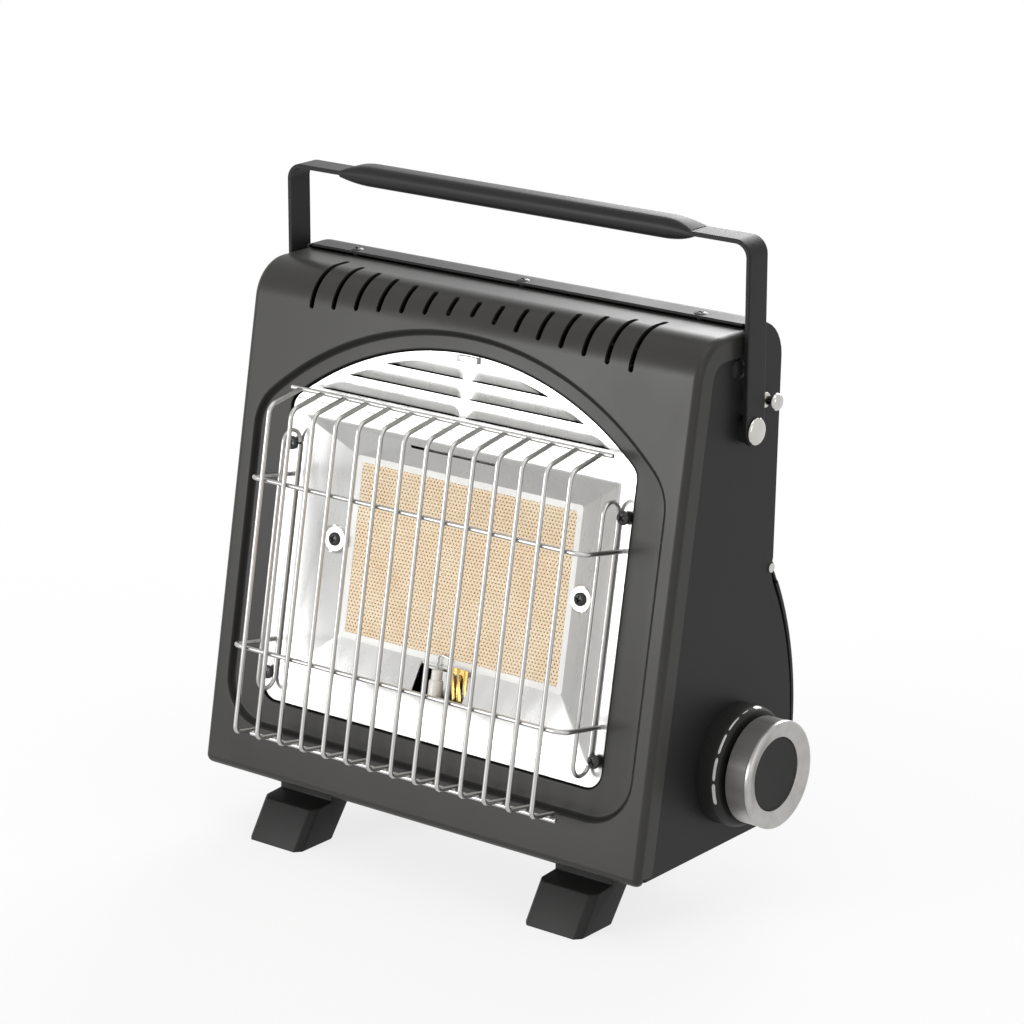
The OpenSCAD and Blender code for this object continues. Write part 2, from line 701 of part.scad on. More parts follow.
// A pressed tray round the tile with a rim in front and a distributor behind.
module burner_box() {
    back_n = box_n - wall_t;
    in_w = dome_w - wall_t;
    leg_gap = 18;
    color("#a9aaa8") leaning() difference() {
        union() {
            slab(box_w, box_s0, box_s1, rim_n, box_n - rim_n);
            slab(box_w + rim_lap + 3, box_s0 - rim_lap, box_s1 + rim_lap, rim_n, wall_t);
            slab(dome_w, dome_s0, dome_s1, box_n, dome_n - box_n);
        }
        slab(box_w - wall_t, box_s0 + wall_t, box_s1 - wall_t, rim_n - over, back_n - rim_n + over);
        slab(in_w, dome_s0 + wall_t, dome_s1 - wall_t, back_n - over, dome_n - wall_t - back_n + over);
        rod_n(back_n, dome_n + over, stub_r - tube_t, stub_x, tube_s);
        both() rod_n(rim_n - over, rim_n + 3, 1.5, burner_screw_x, burner_screw_s);
        slab(leg_gap, box_s0 - rim_lap - over, box_s0 - touch, rim_n - over, 4);
    }
}

// Tube along X with a flared mouth and a stub into the distributor.
module mixing_tube() {
    mouth_r = tube_r + 3;
    color("#9c9d9b") difference() {
        union() {
            rod_x(tube_x0, tube_x1, tube_r, tube_y, tube_z);
            translate([tube_x1 - 7, tube_y, tube_z]) rotate([0, 90, 0])
                cylinder(h = 7, r1 = tube_r, r2 = mouth_r);
            leaning() rod_n(dome_n, tube_n, stub_r, stub_x, tube_s);
        }
        rod_x(tube_x0 + tube_t, tube_x1 + over, tube_r - tube_t, tube_y, tube_z);
        translate([tube_x1 - 6, tube_y, tube_z]) rotate([0, 90, 0])
            cylinder(h = 6 + 0.01, r1 = tube_r - tube_t, r2 = mouth_r - tube_t);
        leaning() rod_n(dome_n - over, tube_n, stub_r - tube_t, stub_x, tube_s);
    }
}

module injector() {
    color("#c9a24a") difference() {
        union() {
            rod_x(inj_x, inj_x + 13, inj_r, tube_y, tube_z);
            rod_x(inj_x - 8, inj_x, inj_nozzle_r, tube_y, tube_z);
            translate([pipe_x, tube_y, tube_z - inj_r - 5]) cylinder(h = 9, r = 4);
        }
        rod_x(inj_x - 9, inj_x + 8, 0.6, tube_y, tube_z);
    }
}

// A plate behind the mouth of the mixing tube, held by two straps over the flare.
module injector_bracket() {
    w = 5;
    reach = tube_r + 3 + touch;
    color("silver") difference() {
        union() {
            translate([inj_x - sheet_t, tube_y - w, tube_z - reach - sheet_t])
                cube([sheet_t, 2*w, 2*(reach + sheet_t)]);
            for (z = [tube_z + reach, tube_z - reach - sheet_t]) translate([tube_x1 - 5, tube_y - w, z])
                cube([inj_x - tube_x1 + 5, 2*w, sheet_t]);
        }
        rod_x(inj_x - 3, inj_x + 1, inj_nozzle_r + touch, tube_y, tube_z);
    }
}

// A copper pipe from the top of the valve up to the injector.
module gas_pipe() {
    color("#b8703f") wire(bent([[pipe_x, axis_y, axis_z + valve_h], [pipe_x, axis_y, axis_z + 30],
        [pipe_x, tube_y, axis_z + 44], [pipe_x, tube_y, tube_z - inj_r - 5]], 12, 5), pipe_r, [1, 0, 0]);
}

module valve_bracket() {
    y0 = axis_y - plate_half;
    y1 = axis_y + plate_half;
    color("#8f908e") difference() {
        union() {
            along_x(bracket_x, bracket_x + bracket_t, [[y0, plate_z], [y1, plate_z], [y1, plate_top - 18],
                [y1 - 10, plate_top], [y0 + 14, plate_top], [y0 + 2, plate_top - 22]]);
            for (y = [y0 + 4, y1 - 14]) translate([bracket_x, y, plate_z]) cube([11, 9, bracket_t]);
        }
        rod_x(bracket_x - over, bracket_x + 3, 5, axis_y, axis_z);
    }
}

module regulator_body() {
    color("#b9b9b4") difference() {
        union() {
            rod_x(reg_x, cap_x, 21, axis_y, axis_z);
            rod_x(port_x, reg_x, 3.6, axis_y, axis_z);
        }
        rod_x(port_x - over, reg_x + 6, 1.2, axis_y, axis_z);
    }
}

module regulator_cap() {
    color("#a7a8a6") difference() {
        rod_x(cap_x, valve_x, 19, axis_y, axis_z);
        rod_x(cap_x - over, valve_x + over, 12, axis_y, axis_z);
    }
}

module valve_body() {
    color("#c2a35a") difference() {
        union() {
            translate([valve_x, axis_y - valve_h, axis_z - valve_h]) cube([valve_l, 2*valve_h, 2*valve_h]);
            rod_x(boss_x, boss_x + boss_l, boss_r, axis_y, axis_z);
            rod_x(cap_x, valve_x, 12 - touch, axis_y, axis_z);
        }
        rod_x(bore_x, boss_x + boss_l + over, spindle_r + run_gap, axis_y, axis_z);
        rod_x(bore_x - 8, bore_x + over, plunger_r + run_gap, axis_y, axis_z);
    }
}

module valve_plunger() {
    color("silver") rod_x(bore_x - 8 + press_d + fit, bore_x + press_d + fit, plunger_r, axis_y, axis_z);
}

module spindle() {
    color("#8d8f90") rod_x(bore_x + press_d + fit + 0.02, knob_x - 5, spindle_r, axis_y, axis_z);
}

// Ring of the knob with a broad polished chamfer round the insert.
module knob_ring() {
    color("#b9b9b7") translate([ring_x, axis_y, axis_z]) rotate([0, 90, 0]) rotate_extrude($fn = 96)
        polygon([[insert_r, 0], [knob_r - 0.8, 0], [knob_r, 0.8], [knob_r, knob_l - 1.6],
            [knob_r - 1.2, knob_l], [knob_r - 2.4, knob_l], [insert_r, knob_l - 2.2]]);
}

module knob_insert() {
    face = knob_l - 2.8;
    color("#1d1d1d") difference() {
        translate([ring_x + 1, axis_y, axis_z]) rotate([0, 90, 0])
            cylinder(h = face - 1, r = insert_r, $fn = 96);
        rod_x(ring_x, knob_x - 5, spindle_r, axis_y, axis_z);
    }
}

module dial_bezel() {
    color("#1b1b1b") difference() {
        translate([side_x, axis_y, axis_z]) rotate([0, 90, 0])
            cylinder(h = bezel_h, r1 = bezel_r, r2 = bezel_r - 1.5, $fn = 96);
        rod_x(side_x - over, bezel_x + over, spindle_r + 0.6, axis_y, axis_z);
    }
}

module piezo_unit() {
    color("#2f2f33") translate([valve_x + 4, axis_y - 9, 10]) cube([18, 18, axis_z - valve_h - 10]);
}

module safety_valve() {
    color("#b98f4a") translate([safety_x, axis_y - valve_h, axis_z]) rotate([90, 0, 0]) {
        cylinder(h = 14, r = safety_r);
        translate([0, 0, 14]) cylinder(h = 5, r = 4);
    }
}

// Socket for the collar of the cartridge, with a key for its notch.
module cartridge_port() {
    port_r = socket_r + 4;
    color("#a5a6a5") {
        difference() {
            rod_x(mouth_x, bracket_x, port_r, axis_y, axis_z);
            rod_x(mouth_x - over, mouth_x + socket_d, socket_r, axis_y, axis_z);
            rod_x(mouth_x, port_x, seat_r, axis_y, axis_z);
            rod_x(port_x - over, bracket_x + over, 5, axis_y, axis_z);
        }
        translate([port_x - seat_d, axis_y - 3, axis_z + seat_r - 3]) cube([seat_d, 6, 4]);
    }
}

module port_seal() {
    color("#202020") difference() {
        rod_x(port_x - 2.5, port_x, 8, axis_y, axis_z);
        rod_x(port_x - 4, port_x + over, 3.6, axis_y, axis_z);
    }
}

module port_magnets() {
    color("#77797b") for (k = [-1, 1]) rod_x(port_x - 2, port_x, 5, axis_y + k*16, axis_z);
}

// A saddle for the cartridge, standing on the base plate.
module cartridge_cradle() {
    half_a = 35;
    c = [axis_y, axis_z];
    foot = cradle_r*sin(half_a);
    leg_z = axis_z - cradle_r*cos(half_a);
    color("#3a3a39") along_x(can_x0 + 14, mouth_x - 15, concat(
        arc(c, cradle_r, 270 - half_a, 270 + half_a, 10),
        [[axis_y + foot, plate_z], [axis_y + foot - 1, plate_z], [axis_y + foot - 1, leg_z - 1.7]],
        arc(c, cradle_r + 1, 268 + half_a - 2, 272 - half_a + 2, 8),
        [[axis_y - foot + 1, leg_z - 1.7], [axis_y - foot + 1, plate_z], [axis_y - foot, plate_z]]));
}

// A shield between burner and cartridge, standing on the base plate.
module heat_shield() {
    c = [axis_y, axis_z];
    out = shield_r + wall_t;
    color("#b5b6b4") along_x(-inner_x + sheet_t + 0.2, bracket_x, concat(
        [[axis_y - out, plate_z]], arc(c, out, 180, 55, 12), backwards(arc(c, shield_r, 180, 55, 12)),
        [[axis_y - shield_r, plate_z]]));
}

module electrode_ceramic() {
    neck_s = ceramic_s0 + 20;
    color("#f2efe8") leaning() {
        translate([electrode_x, electrode_n, ceramic_s0]) cylinder(h = neck_s - ceramic_s0, r = 3.4);
        translate([electrode_x, electrode_n, neck_s]) cylinder(h = ceramic_s1 - neck_s, r = 2.6);
    }
}

module electrode_wire() {
    x = electrode_x;
    n = electrode_n;
    color("#7b7b78") leaning() wire(bent([[x, n, ceramic_s1], [x, n, ceramic_s1 + 7],
        [x + 5, n, ceramic_s1 + 6.6], [x + 5.6, n, ceramic_s1 + 4.4]], 1.4, 4), 0.7, [0, 1, 0], 6);
}

// Shelf round the ceramic and the probe, hung from the lower wall of the burner box.
module electrode_bracket() {
    shelf_s = 53;
    leg_n = 21;
    color("#a2a3a1") leaning() difference() {
        union() {
            translate([-12, electrode_n - 4.6, shelf_s]) cube([28, leg_n - electrode_n + 4.6, sheet_t]);
            translate([-12, leg_n, shelf_s]) cube([28, sheet_t, box_s0 - shelf_s]);
        }
        translate([electrode_x, electrode_n, shelf_s - 1]) cylinder(h = 4, r = 3.4);
        translate([probe_x, probe_n, shelf_s - 1]) cylinder(h = 4, r = 1.6);
    }
}

module thermocouple() {
    color("#9b8a66") leaning() translate([probe_x, probe_n, probe_s0]) cylinder(h = 23, r = 1.6);
}

// Brass plate in front of the probe with slanted slots.
module thermocouple_shield() {
    n0 = probe_n - 1.6 - wall_t;
    color("#d6a63c") leaning() difference() {
        union() {
            translate([probe_x - 6, n0, 57]) cube([12, wall_t, 17]);
            translate([probe_x - 6, n0, 54.2]) cube([12, wall_t, 3]);
        }
        for (k = [-1:1]) inward(n0 - over, n0 + 2, [for (p = [[-0.8, 60], [0.8, 60], [-2, 71], [-3.6, 71]])
            [probe_x + 1.4 + k*3.6 + p.x, p.y]]);
    }
}

module ignition_lead() {
    p = world(electrode_x, electrode_n, ceramic_s0);
    q = world(electrode_x, electrode_n, 26);
    color("#b6402c") wire(bent(concat([p, q], lead_path), 6, 3), lead_r, [1, 0, 0], 6);
}

module thermocouple_lead() {
    p = world(probe_x, probe_n, probe_s0);
    q = world(probe_x, probe_n, 30);
    color("#b3763f") wire(bent(concat([p, q], probe_path), 6, 3), lead_r, [1, 0, 0], 6);
}

// Each upright bends back to the rods at both ends.
module guard_uprights() {
    r = wire_r;
    line = bent([[0, -low_rod_h + r + touch, guard_s0], [0, -guard_h, guard_s0], [0, -guard_h, guard_s1 - 7],
        [0, -top_rod_h - r - touch, guard_s1]], 3, 3);
    color("#c9cacb") leaning() for (i = [0:upright_n - 1])
        translate([(i - (upright_n - 1)/2)*upright_pitch, 0, 0]) wire(line, r, [1, 0, 0]);
}

// Two wires behind the uprights, their ends turned back to the reflector.
module guard_cross_wires() {
    h = guard_h - 2*wire_r - touch;
    color("#c9cacb") leaning() for (s = cross_s)
        wire(bent([[-cross_w, bright_n - bright_t - touch, s], [-cross_w, -h, s], [cross_w, -h, s],
            [cross_w, bright_n - bright_t - touch, s]], 6, 4), wire_r, [0, 0, 1]);
}

module guard_rods() {
    w = upright_pitch*(upright_n - 1)/2;
    low_w = w + 3;
    top_w = w + 6;
    color("#c9cacb") leaning() {
        rod_x(-low_w, low_w, wire_r, -low_rod_h, guard_s0 - 2*wire_r - touch);
        rod_x(-top_w, top_w, wire_r, 0.4 - top_rod_h, guard_s1 + 0.4);
    }
}

// Closed wire loops that the reflector screws clamp.
module guard_clips() {
    n0 = sheet_n - clip_r - touch;
    bow = 5.9;
    nc = n0 - bow;
    s0 = guard_screw_s[0] - 1;
    s1 = guard_screw_s[1] + 1;
    loop = concat([for (i = [0:10]) let (a = i*18) [clip_x, nc + bow*cos(a), s1 + bow*sin(a)]],
                  [for (i = [0:10]) let (a = 180 + i*18) [clip_x, nc + bow*cos(a), s0 + bow*sin(a)]]);
    gap_end = [clip_x, n0, s1 - 1];
    color("#c9cacb") leaning() both() wire(concat(loop, [gap_end]), clip_r, [1, 0, 0]);
}

module round_screw(n, x, s, head_r, head_h, shank_r, l) {
    rod_n(n, n + l, shank_r, x, s);
    crown = [for (a = [30, 60]) [head_r*cos(a), head_h*sin(a)]];
    translate([x, n, s]) rotate([90, 0, 0]) rotate_extrude()
        polygon(concat([[0, 0], [head_r, 0]], crown, [[0, head_h]]));
}

module reflector_screws() {
    color("#3a3a3a") leaning() both() for (s = guard_screw_s)
        round_screw(sheet_n - 2*clip_r - 2*touch, guard_screw_x, s, 3.2, 1.8, 1.55, 9);
}

module burner_screws() {
    color("#6f6f6d") leaning() both()
        round_screw(11, burner_screw_x, burner_screw_s, 3.2, 1.6, 1.45, 9);
}

module top_screws() {
    color("#232323") for (x = [-1:1]) translate([x*top_screw_x, top_screw_y, body_h]) {
        rotate_extrude() polygon([[0, 0], [3.6, 0], [3.2, 0.9], [2, 1.5], [0, 1.7]]);
        translate([0, 0, -7]) cylinder(h = 7, r = 1.55);
    }
}

// Upper part of the bail seen from the front, as a strip of even thickness.
function bail_line(grow) =
    concat([[bail_x + grow, 0]], arc([bail_out - bail_r, bail_h - bail_r], bail_r - bail_t + grow, 0, 90, 8));

module handle_bail() {
    leg_top = 12;
    r = bail_w/2;
    half = concat(bail_line(bail_t), flip(bail_line(bail_t)));
    inner = concat(bail_line(0), flip(bail_line(0)));
    color("#1f1f1f") difference() {
        union() {
            translate([0, pivot_y + r, pivot_z]) rotate([90, 0, 0]) linear_extrude(bail_w) difference() {
                translate([0, leg_top]) polygon([for (p = half) [p.x, p.y == 0 ? 0 : p.y - leg_top]]);
                polygon([for (p = inner) [p.x, p.y == 0 ? -over : p.y]]);
            }
            both() along_x(bail_x, bail_out, concat([[pivot_y + r, pivot_z + leg_top]],
                [[pivot_y - r, pivot_z + leg_top]], arc([pivot_y, pivot_z], r, 180, 360, 12)));
        }
        both() rod_x(bail_x - over, bail_out + over, rivet_r + run_gap, pivot_y, pivot_z);
        for (k = [-1, 1]) translate([-grip_l + 5, pivot_y + k*(r + 2.5) - 5, pivot_z + bail_h - 5])
            cube([2*grip_l - 10, 10, 10]);
    }
}

function grip_line(w, h) =
    let (r = min(grip_r, w/2 - 0.1, h/2 - 0.1),
         half = concat(arc([w/2 - r, r - h/2], r, -90, 0, 4), arc([w/2 - r, h/2 - r], r, 0, 90, 4)))
    concat(half, flip(half));

// The rolled grip: a rounded bar with tapered ends round the narrowed strip.
module handle_grip() {
    w = bail_w + 0.6;
    taper = 9;
    z = bail_h - bail_t/2 - 0.2;
    strip_z = pivot_z + bail_h - bail_t;
    color("#1f1f1f") difference() {
        translate([0, pivot_y, pivot_z + z]) {
            along_x(taper - grip_l, grip_l - taper, grip_line(w, grip_h));
            for (k = [0, 1]) mirror([k, 0, 0]) hull() {
                along_x(grip_l - taper, grip_l - taper + 0.01, grip_line(w, grip_h));
                along_x(grip_l - 0.01, grip_l, grip_line(w, bail_t + 1.6));
            }
        }
        for (x = [-grip_l - over, grip_l - 6]) translate([x, pivot_y - bail_w/2, strip_z])
            cube([6 + over, bail_w, bail_t]);
        translate([-grip_l, pivot_y - bail_w/2 + 2.5, strip_z]) cube([2*grip_l, bail_w - 5, bail_t]);
    }
}

module handle_rivets() {
    color("silver") both() {
        rod_x(inner_x - 1.6, bail_out + fit, rivet_r, pivot_y, pivot_z);
        rod_x(inner_x - 3.2, inner_x, 5, pivot_y, pivot_z);
        translate([bail_out + fit, pivot_y, pivot_z]) rotate([0, 90, 0]) rotate_extrude()
            polygon([[0, 0], [6.3, 0], [5.8, 0.9], [4.2, 1.7], [0, 2.2]]);
    }
}

module handle_spacers() {
    color("#2a2a2a") both() difference() {
        rod_x(side_x, bail_x - fit, 6, pivot_y, pivot_z);
        rod_x(side_x - over, bail_x + over, rivet_r, pivot_y, pivot_z);
    }
}

module stop_studs() {
    color("#c8c2b8") both() {
        rod_x(inner_x - 1, stud_head_x, 2.1, stud_y, stud_z);
        rod_x(side_x, side_x + 1.6, 3.6, stud_y, stud_z);
        translate([stud_head_x, stud_y, stud_z]) rotate([0, 90, 0]) rotate_extrude()
            polygon([[0, 0], [4, 0], [3.8, 1.2], [2.6, 2.2], [0, 2.5]]);
        rod_x(inner_x - 2.2, inner_x, 4, stud_y, stud_z);
    }
}

// Outline of a foot from the side; the toe reaches forward of the body.
function foot_line(top) =
    [[-3.2, -foot_h], [21.6, -foot_h], [45, top], [22, top], [22, -11.8], [8.6, -12.7]];

module foot(x0, screw_y, pts, top) {
    cut = 5;
    color("#1c1c1c") difference() {
        along_x(x0, x0 + foot_w, pts);
        for (k = [0, 1]) for (y = [min([for (p = pts) p.x]), max([for (p = pts) p.x])])
            translate([x0 + k*foot_w, y, -foot_h - over]) rotate([0, 0, 45])
                translate([-cut/2 - 0.5, -cut/2 - 0.5, 0]) cube([cut + 1, cut + 1, foot_h - 12]);
        translate([x0 + foot_w/2, screw_y, top - 9]) cylinder(h = 12, r = 1.8);
    }
}

module front_foot_right() { foot(front_foot_x, foot_screw_y, foot_line(0), 0); }

module front_foot_left() { mirror([1, 0, 0]) front_foot_right(); }

module rear_foot_right() {
    line = [for (p = backwards(foot_line(floor_z))) [rear_turn - p.x, p.y]];
    foot(rear_foot_x, rear_screw_y, line, floor_z);
}

module rear_foot_left() { mirror([1, 0, 0]) rear_foot_right(); }

module foot_screws() {
    color("#555553") both() for (q = [[front_foot_x, foot_screw_y, 0], [rear_foot_x, rear_screw_y, floor_z]])
        translate([q.x + foot_w/2, q.y, 0]) {
            translate([0, 0, q.z - 8]) cylinder(h = 8 + plate_z - q.z, r = 1.75);
            translate([0, 0, plate_z]) cylinder(h = 1.6, r = 3.4);
        }
}

place() front_panel();
place() rear_panel();
place() side_panel_left();
place() side_panel_right();
place() base_plate();
place() cartridge_door();
place() door_pins();
place() door_catch();
place() louvre_fascia();
place() reflector();
place() ceramic_tile();
place() tile_gasket();
place() burner_box();
place() mixing_tube();
place() injector();
place() injector_bracket();
place() gas_pipe();
place() valve_bracket();
place() regulator_body();
place() regulator_cap();
place() valve_body();
place() valve_plunger();
place() spindle();
place() knob_ring();
place() knob_insert();
place() dial_bezel();
place() piezo_unit();
place() safety_valve();
place() cartridge_port();
place() port_seal();
place() port_magnets();
place() cartridge_cradle();
place() heat_shield();
place() electrode_ceramic();
place() electrode_wire();
place() electrode_bracket();
place() ignition_lead();
place() thermocouple();
place() thermocouple_shield();
place() thermocouple_lead();
place() guard_uprights();
place() guard_cross_wires();
place() guard_rods();
place() guard_clips();
place() reflector_screws();
place() burner_screws();
place() top_screws();
place() handle_bail();
place() handle_grip();
place() handle_rivets();
place() handle_spacers();
place() stop_studs();
place() front_foot_left();
place() front_foot_right();
place() rear_foot_left();
place() rear_foot_right();
place() foot_screws();
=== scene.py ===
"""Looks of a portable butane heater. The object's sizes are in millimetres, the stage's in metres."""
import json
from contextlib import contextmanager
from itertools import accumulate
from math import asin, atan2, copysign, cos, degrees, hypot, inf, pi, radians, sin, sqrt, tan

import bmesh
import bpy
from mathutils import Matrix, Vector
from mathutils.geometry import delaunay_2d_cdt


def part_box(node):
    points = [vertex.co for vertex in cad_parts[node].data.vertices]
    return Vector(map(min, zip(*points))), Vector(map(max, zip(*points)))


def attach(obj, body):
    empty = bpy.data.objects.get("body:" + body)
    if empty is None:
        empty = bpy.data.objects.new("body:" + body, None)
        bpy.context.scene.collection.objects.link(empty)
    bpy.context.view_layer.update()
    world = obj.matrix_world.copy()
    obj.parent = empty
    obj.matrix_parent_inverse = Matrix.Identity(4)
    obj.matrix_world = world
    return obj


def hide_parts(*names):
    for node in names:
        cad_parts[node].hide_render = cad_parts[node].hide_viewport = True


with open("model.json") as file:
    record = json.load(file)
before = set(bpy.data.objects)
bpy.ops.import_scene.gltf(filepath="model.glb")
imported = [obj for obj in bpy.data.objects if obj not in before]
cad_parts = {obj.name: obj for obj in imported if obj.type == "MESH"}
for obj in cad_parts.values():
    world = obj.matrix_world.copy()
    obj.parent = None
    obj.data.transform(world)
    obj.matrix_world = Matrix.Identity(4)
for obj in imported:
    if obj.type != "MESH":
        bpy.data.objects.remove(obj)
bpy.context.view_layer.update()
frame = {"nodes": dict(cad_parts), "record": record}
MM = 0.001
QUARTER = pi/2

# Camera, from the perspective of the photograph
CAMERA_PLACE = (1.05894, -1.33457, 0.69423)
CAMERA_TURN = (73.35, 0.0, 38.45)
CAMERA_LENS = 136.73
CAMERA_SHIFT = (0.0198, -0.0284)


def link(thing):
    bpy.context.scene.collection.objects.link(thing)
    return thing


def make_camera():
    data = bpy.data.cameras.new("camera")
    camera = link(bpy.data.objects.new("camera", data))
    camera.location = CAMERA_PLACE
    camera.rotation_euler = [radians(a) for a in CAMERA_TURN]
    data.lens = CAMERA_LENS
    data.shift_x, data.shift_y = CAMERA_SHIFT
    bpy.context.scene.camera = camera


make_camera()

# Body axes: x from the middle of the body, y and z from the lower front edge of the front panel
LEAN = radians(10.5)
COS, SIN = cos(LEAN), sin(LEAN)
LOW_BEND = 4.0
panel_low, panel_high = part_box("front_panel")
ORIGIN = Vector(((panel_low.x + panel_high.x)/2, panel_low.y - LOW_BEND*((1 + SIN)/COS - 1)*MM, panel_low.z))
HALF = (panel_high.x - panel_low.x)/2/MM
FOOT_H = panel_low.z/MM


def body(x, y, z):
    """A point given in millimetres from the body's own origin."""
    return ORIGIN + Vector((x, y, z))*MM


def panel(x, n, s):
    """A point given across the front panel, behind its face and up along it, in millimetres."""
    return body(x, n*COS + s*SIN, -n*SIN + s*COS)


# Sizes that several pieces share
SHEET = 1.2
SIDE = HALF - SHEET
TOP_BEND = 20.0
EDGE = 3.5
FLANGE = 11.0
SEAM_Y = 79.0
TOP_Z = (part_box("side_panel_right")[1].z - panel_low.z)/MM
FRONT_TOP = TOP_Z - SHEET
RECESS = 3.0
PAN_N = RECESS + SHEET
BRIGHT = 0.8
ARCH_S = 62.7
OPEN_HALF, OPEN_S, OPEN_ARCH, OPEN_R = 100.0, 38.5, 155.8, 8.0
BEND_S = (FRONT_TOP - TOP_BEND + TOP_BEND*SIN)/COS
BEND_Y = TOP_BEND*COS + BEND_S*SIN
LOW_S = LOW_BEND*(1 + SIN)/COS
LIP = 38.0


# Small helpers for values, outlines and profiles


def clamp(t):
    return max(0.0, min(1.0, t))


def ease(t):
    """A share from 0 to 1 that starts and ends softly."""
    t = clamp(t)
    return t*t*(3 - 2*t)


def ladder(start, length, steps):
    """Evenly spaced values over a length, both ends included."""
    return [start + length*i/steps for i in range(steps + 1)]


def arc(cx, cy, r, a0, a1, steps):
    turns = [radians(a) for a in ladder(a0, a1 - a0, steps)]
    return [(cx + r*cos(a), cy + r*sin(a)) for a in turns]


def circle(cx, cy, r, count):
    return arc(cx, cy, r, 0, 360 - 360/count, count - 1)


def box_outline(x0, x1, y0, y1):
    return [(x0, y0), (x1, y0), (x1, y1), (x0, y1)]


def mirrored(half):
    """A closed outline from its right half, which runs upwards."""
    return half + [(-x, y) for x, y in reversed(half)]


def round_box(w, s0, s1, r, steps=5):
    return mirrored(arc(w - r, s0 + r, r, -90, 0, steps) + arc(w - r, s1 - r, r, 0, 90, steps))


def arched(w, s0, arch_r, shoulder_r, corner_r, grow=0.0, fine=1):
    """An outline with straight sides, an arch on top and round shoulders and lower corners."""
    cx = w - shoulder_r
    cs = ARCH_S + sqrt((arch_r - shoulder_r)**2 - cx*cx)
    a = degrees(atan2(cs - ARCH_S, cx))
    half = arc(w - corner_r, s0 + corner_r, corner_r + grow, -90, 0, 8*fine)
    half += arc(cx, cs, shoulder_r + grow, 0, a, 8*fine)
    half += arc(0, ARCH_S, arch_r + grow, a + 1.5, 89.2, 20*fine)
    return mirrored(half)


def rod(r, length):
    """Profile of a plain turned rod."""
    return [(0, 0), (r, 0), (r, length), (0, length)]


def inside(x, y, outline):
    hit = False
    for (x0, y0), (x1, y1) in zip(outline, outline[1:] + outline[:1]):
        if (y0 > y) != (y1 > y) and x < x0 + (x1 - x0)*(y - y0)/(y1 - y0):
            hit = not hit
    return hit


def edge_distance(x, y, outline):
    """Distance to an outline, positive inside it."""
    best = inf
    for (x0, y0), (x1, y1) in zip(outline, outline[1:] + outline[:1]):
        dx, dy = x1 - x0, y1 - y0
        t = clamp(((x - x0)*dx + (y - y0)*dy)/(dx*dx + dy*dy))
        best = min(best, hypot(x - x0 - t*dx, y - y0 - t*dy))
    return best if inside(x, y, outline) else -best


# Meshes and pieces

JOIN = 1e-6


@contextmanager
def editing(mesh):
    """Opens a mesh as a bmesh and writes it back."""
    bm = bmesh.new()
    bm.from_mesh(mesh)
    yield bm
    bm.to_mesh(mesh)
    bm.free()


def smooth(mesh, sharp):
    """Smooth shading, with edges above an angle kept sharp."""
    mesh.shade_smooth()
    mesh.set_sharp_from_angle(angle=radians(sharp))


def add_piece(name, mesh, slot, stands_for, rides):
    """A finished mesh with its material, body, slot and the CAD nodes that it stands for."""
    mesh.materials.append(MATERIALS[slot])
    piece = link(bpy.data.objects.new(name, mesh))
    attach(piece, rides)
    if stands_for:
        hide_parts(*stands_for)
    return piece


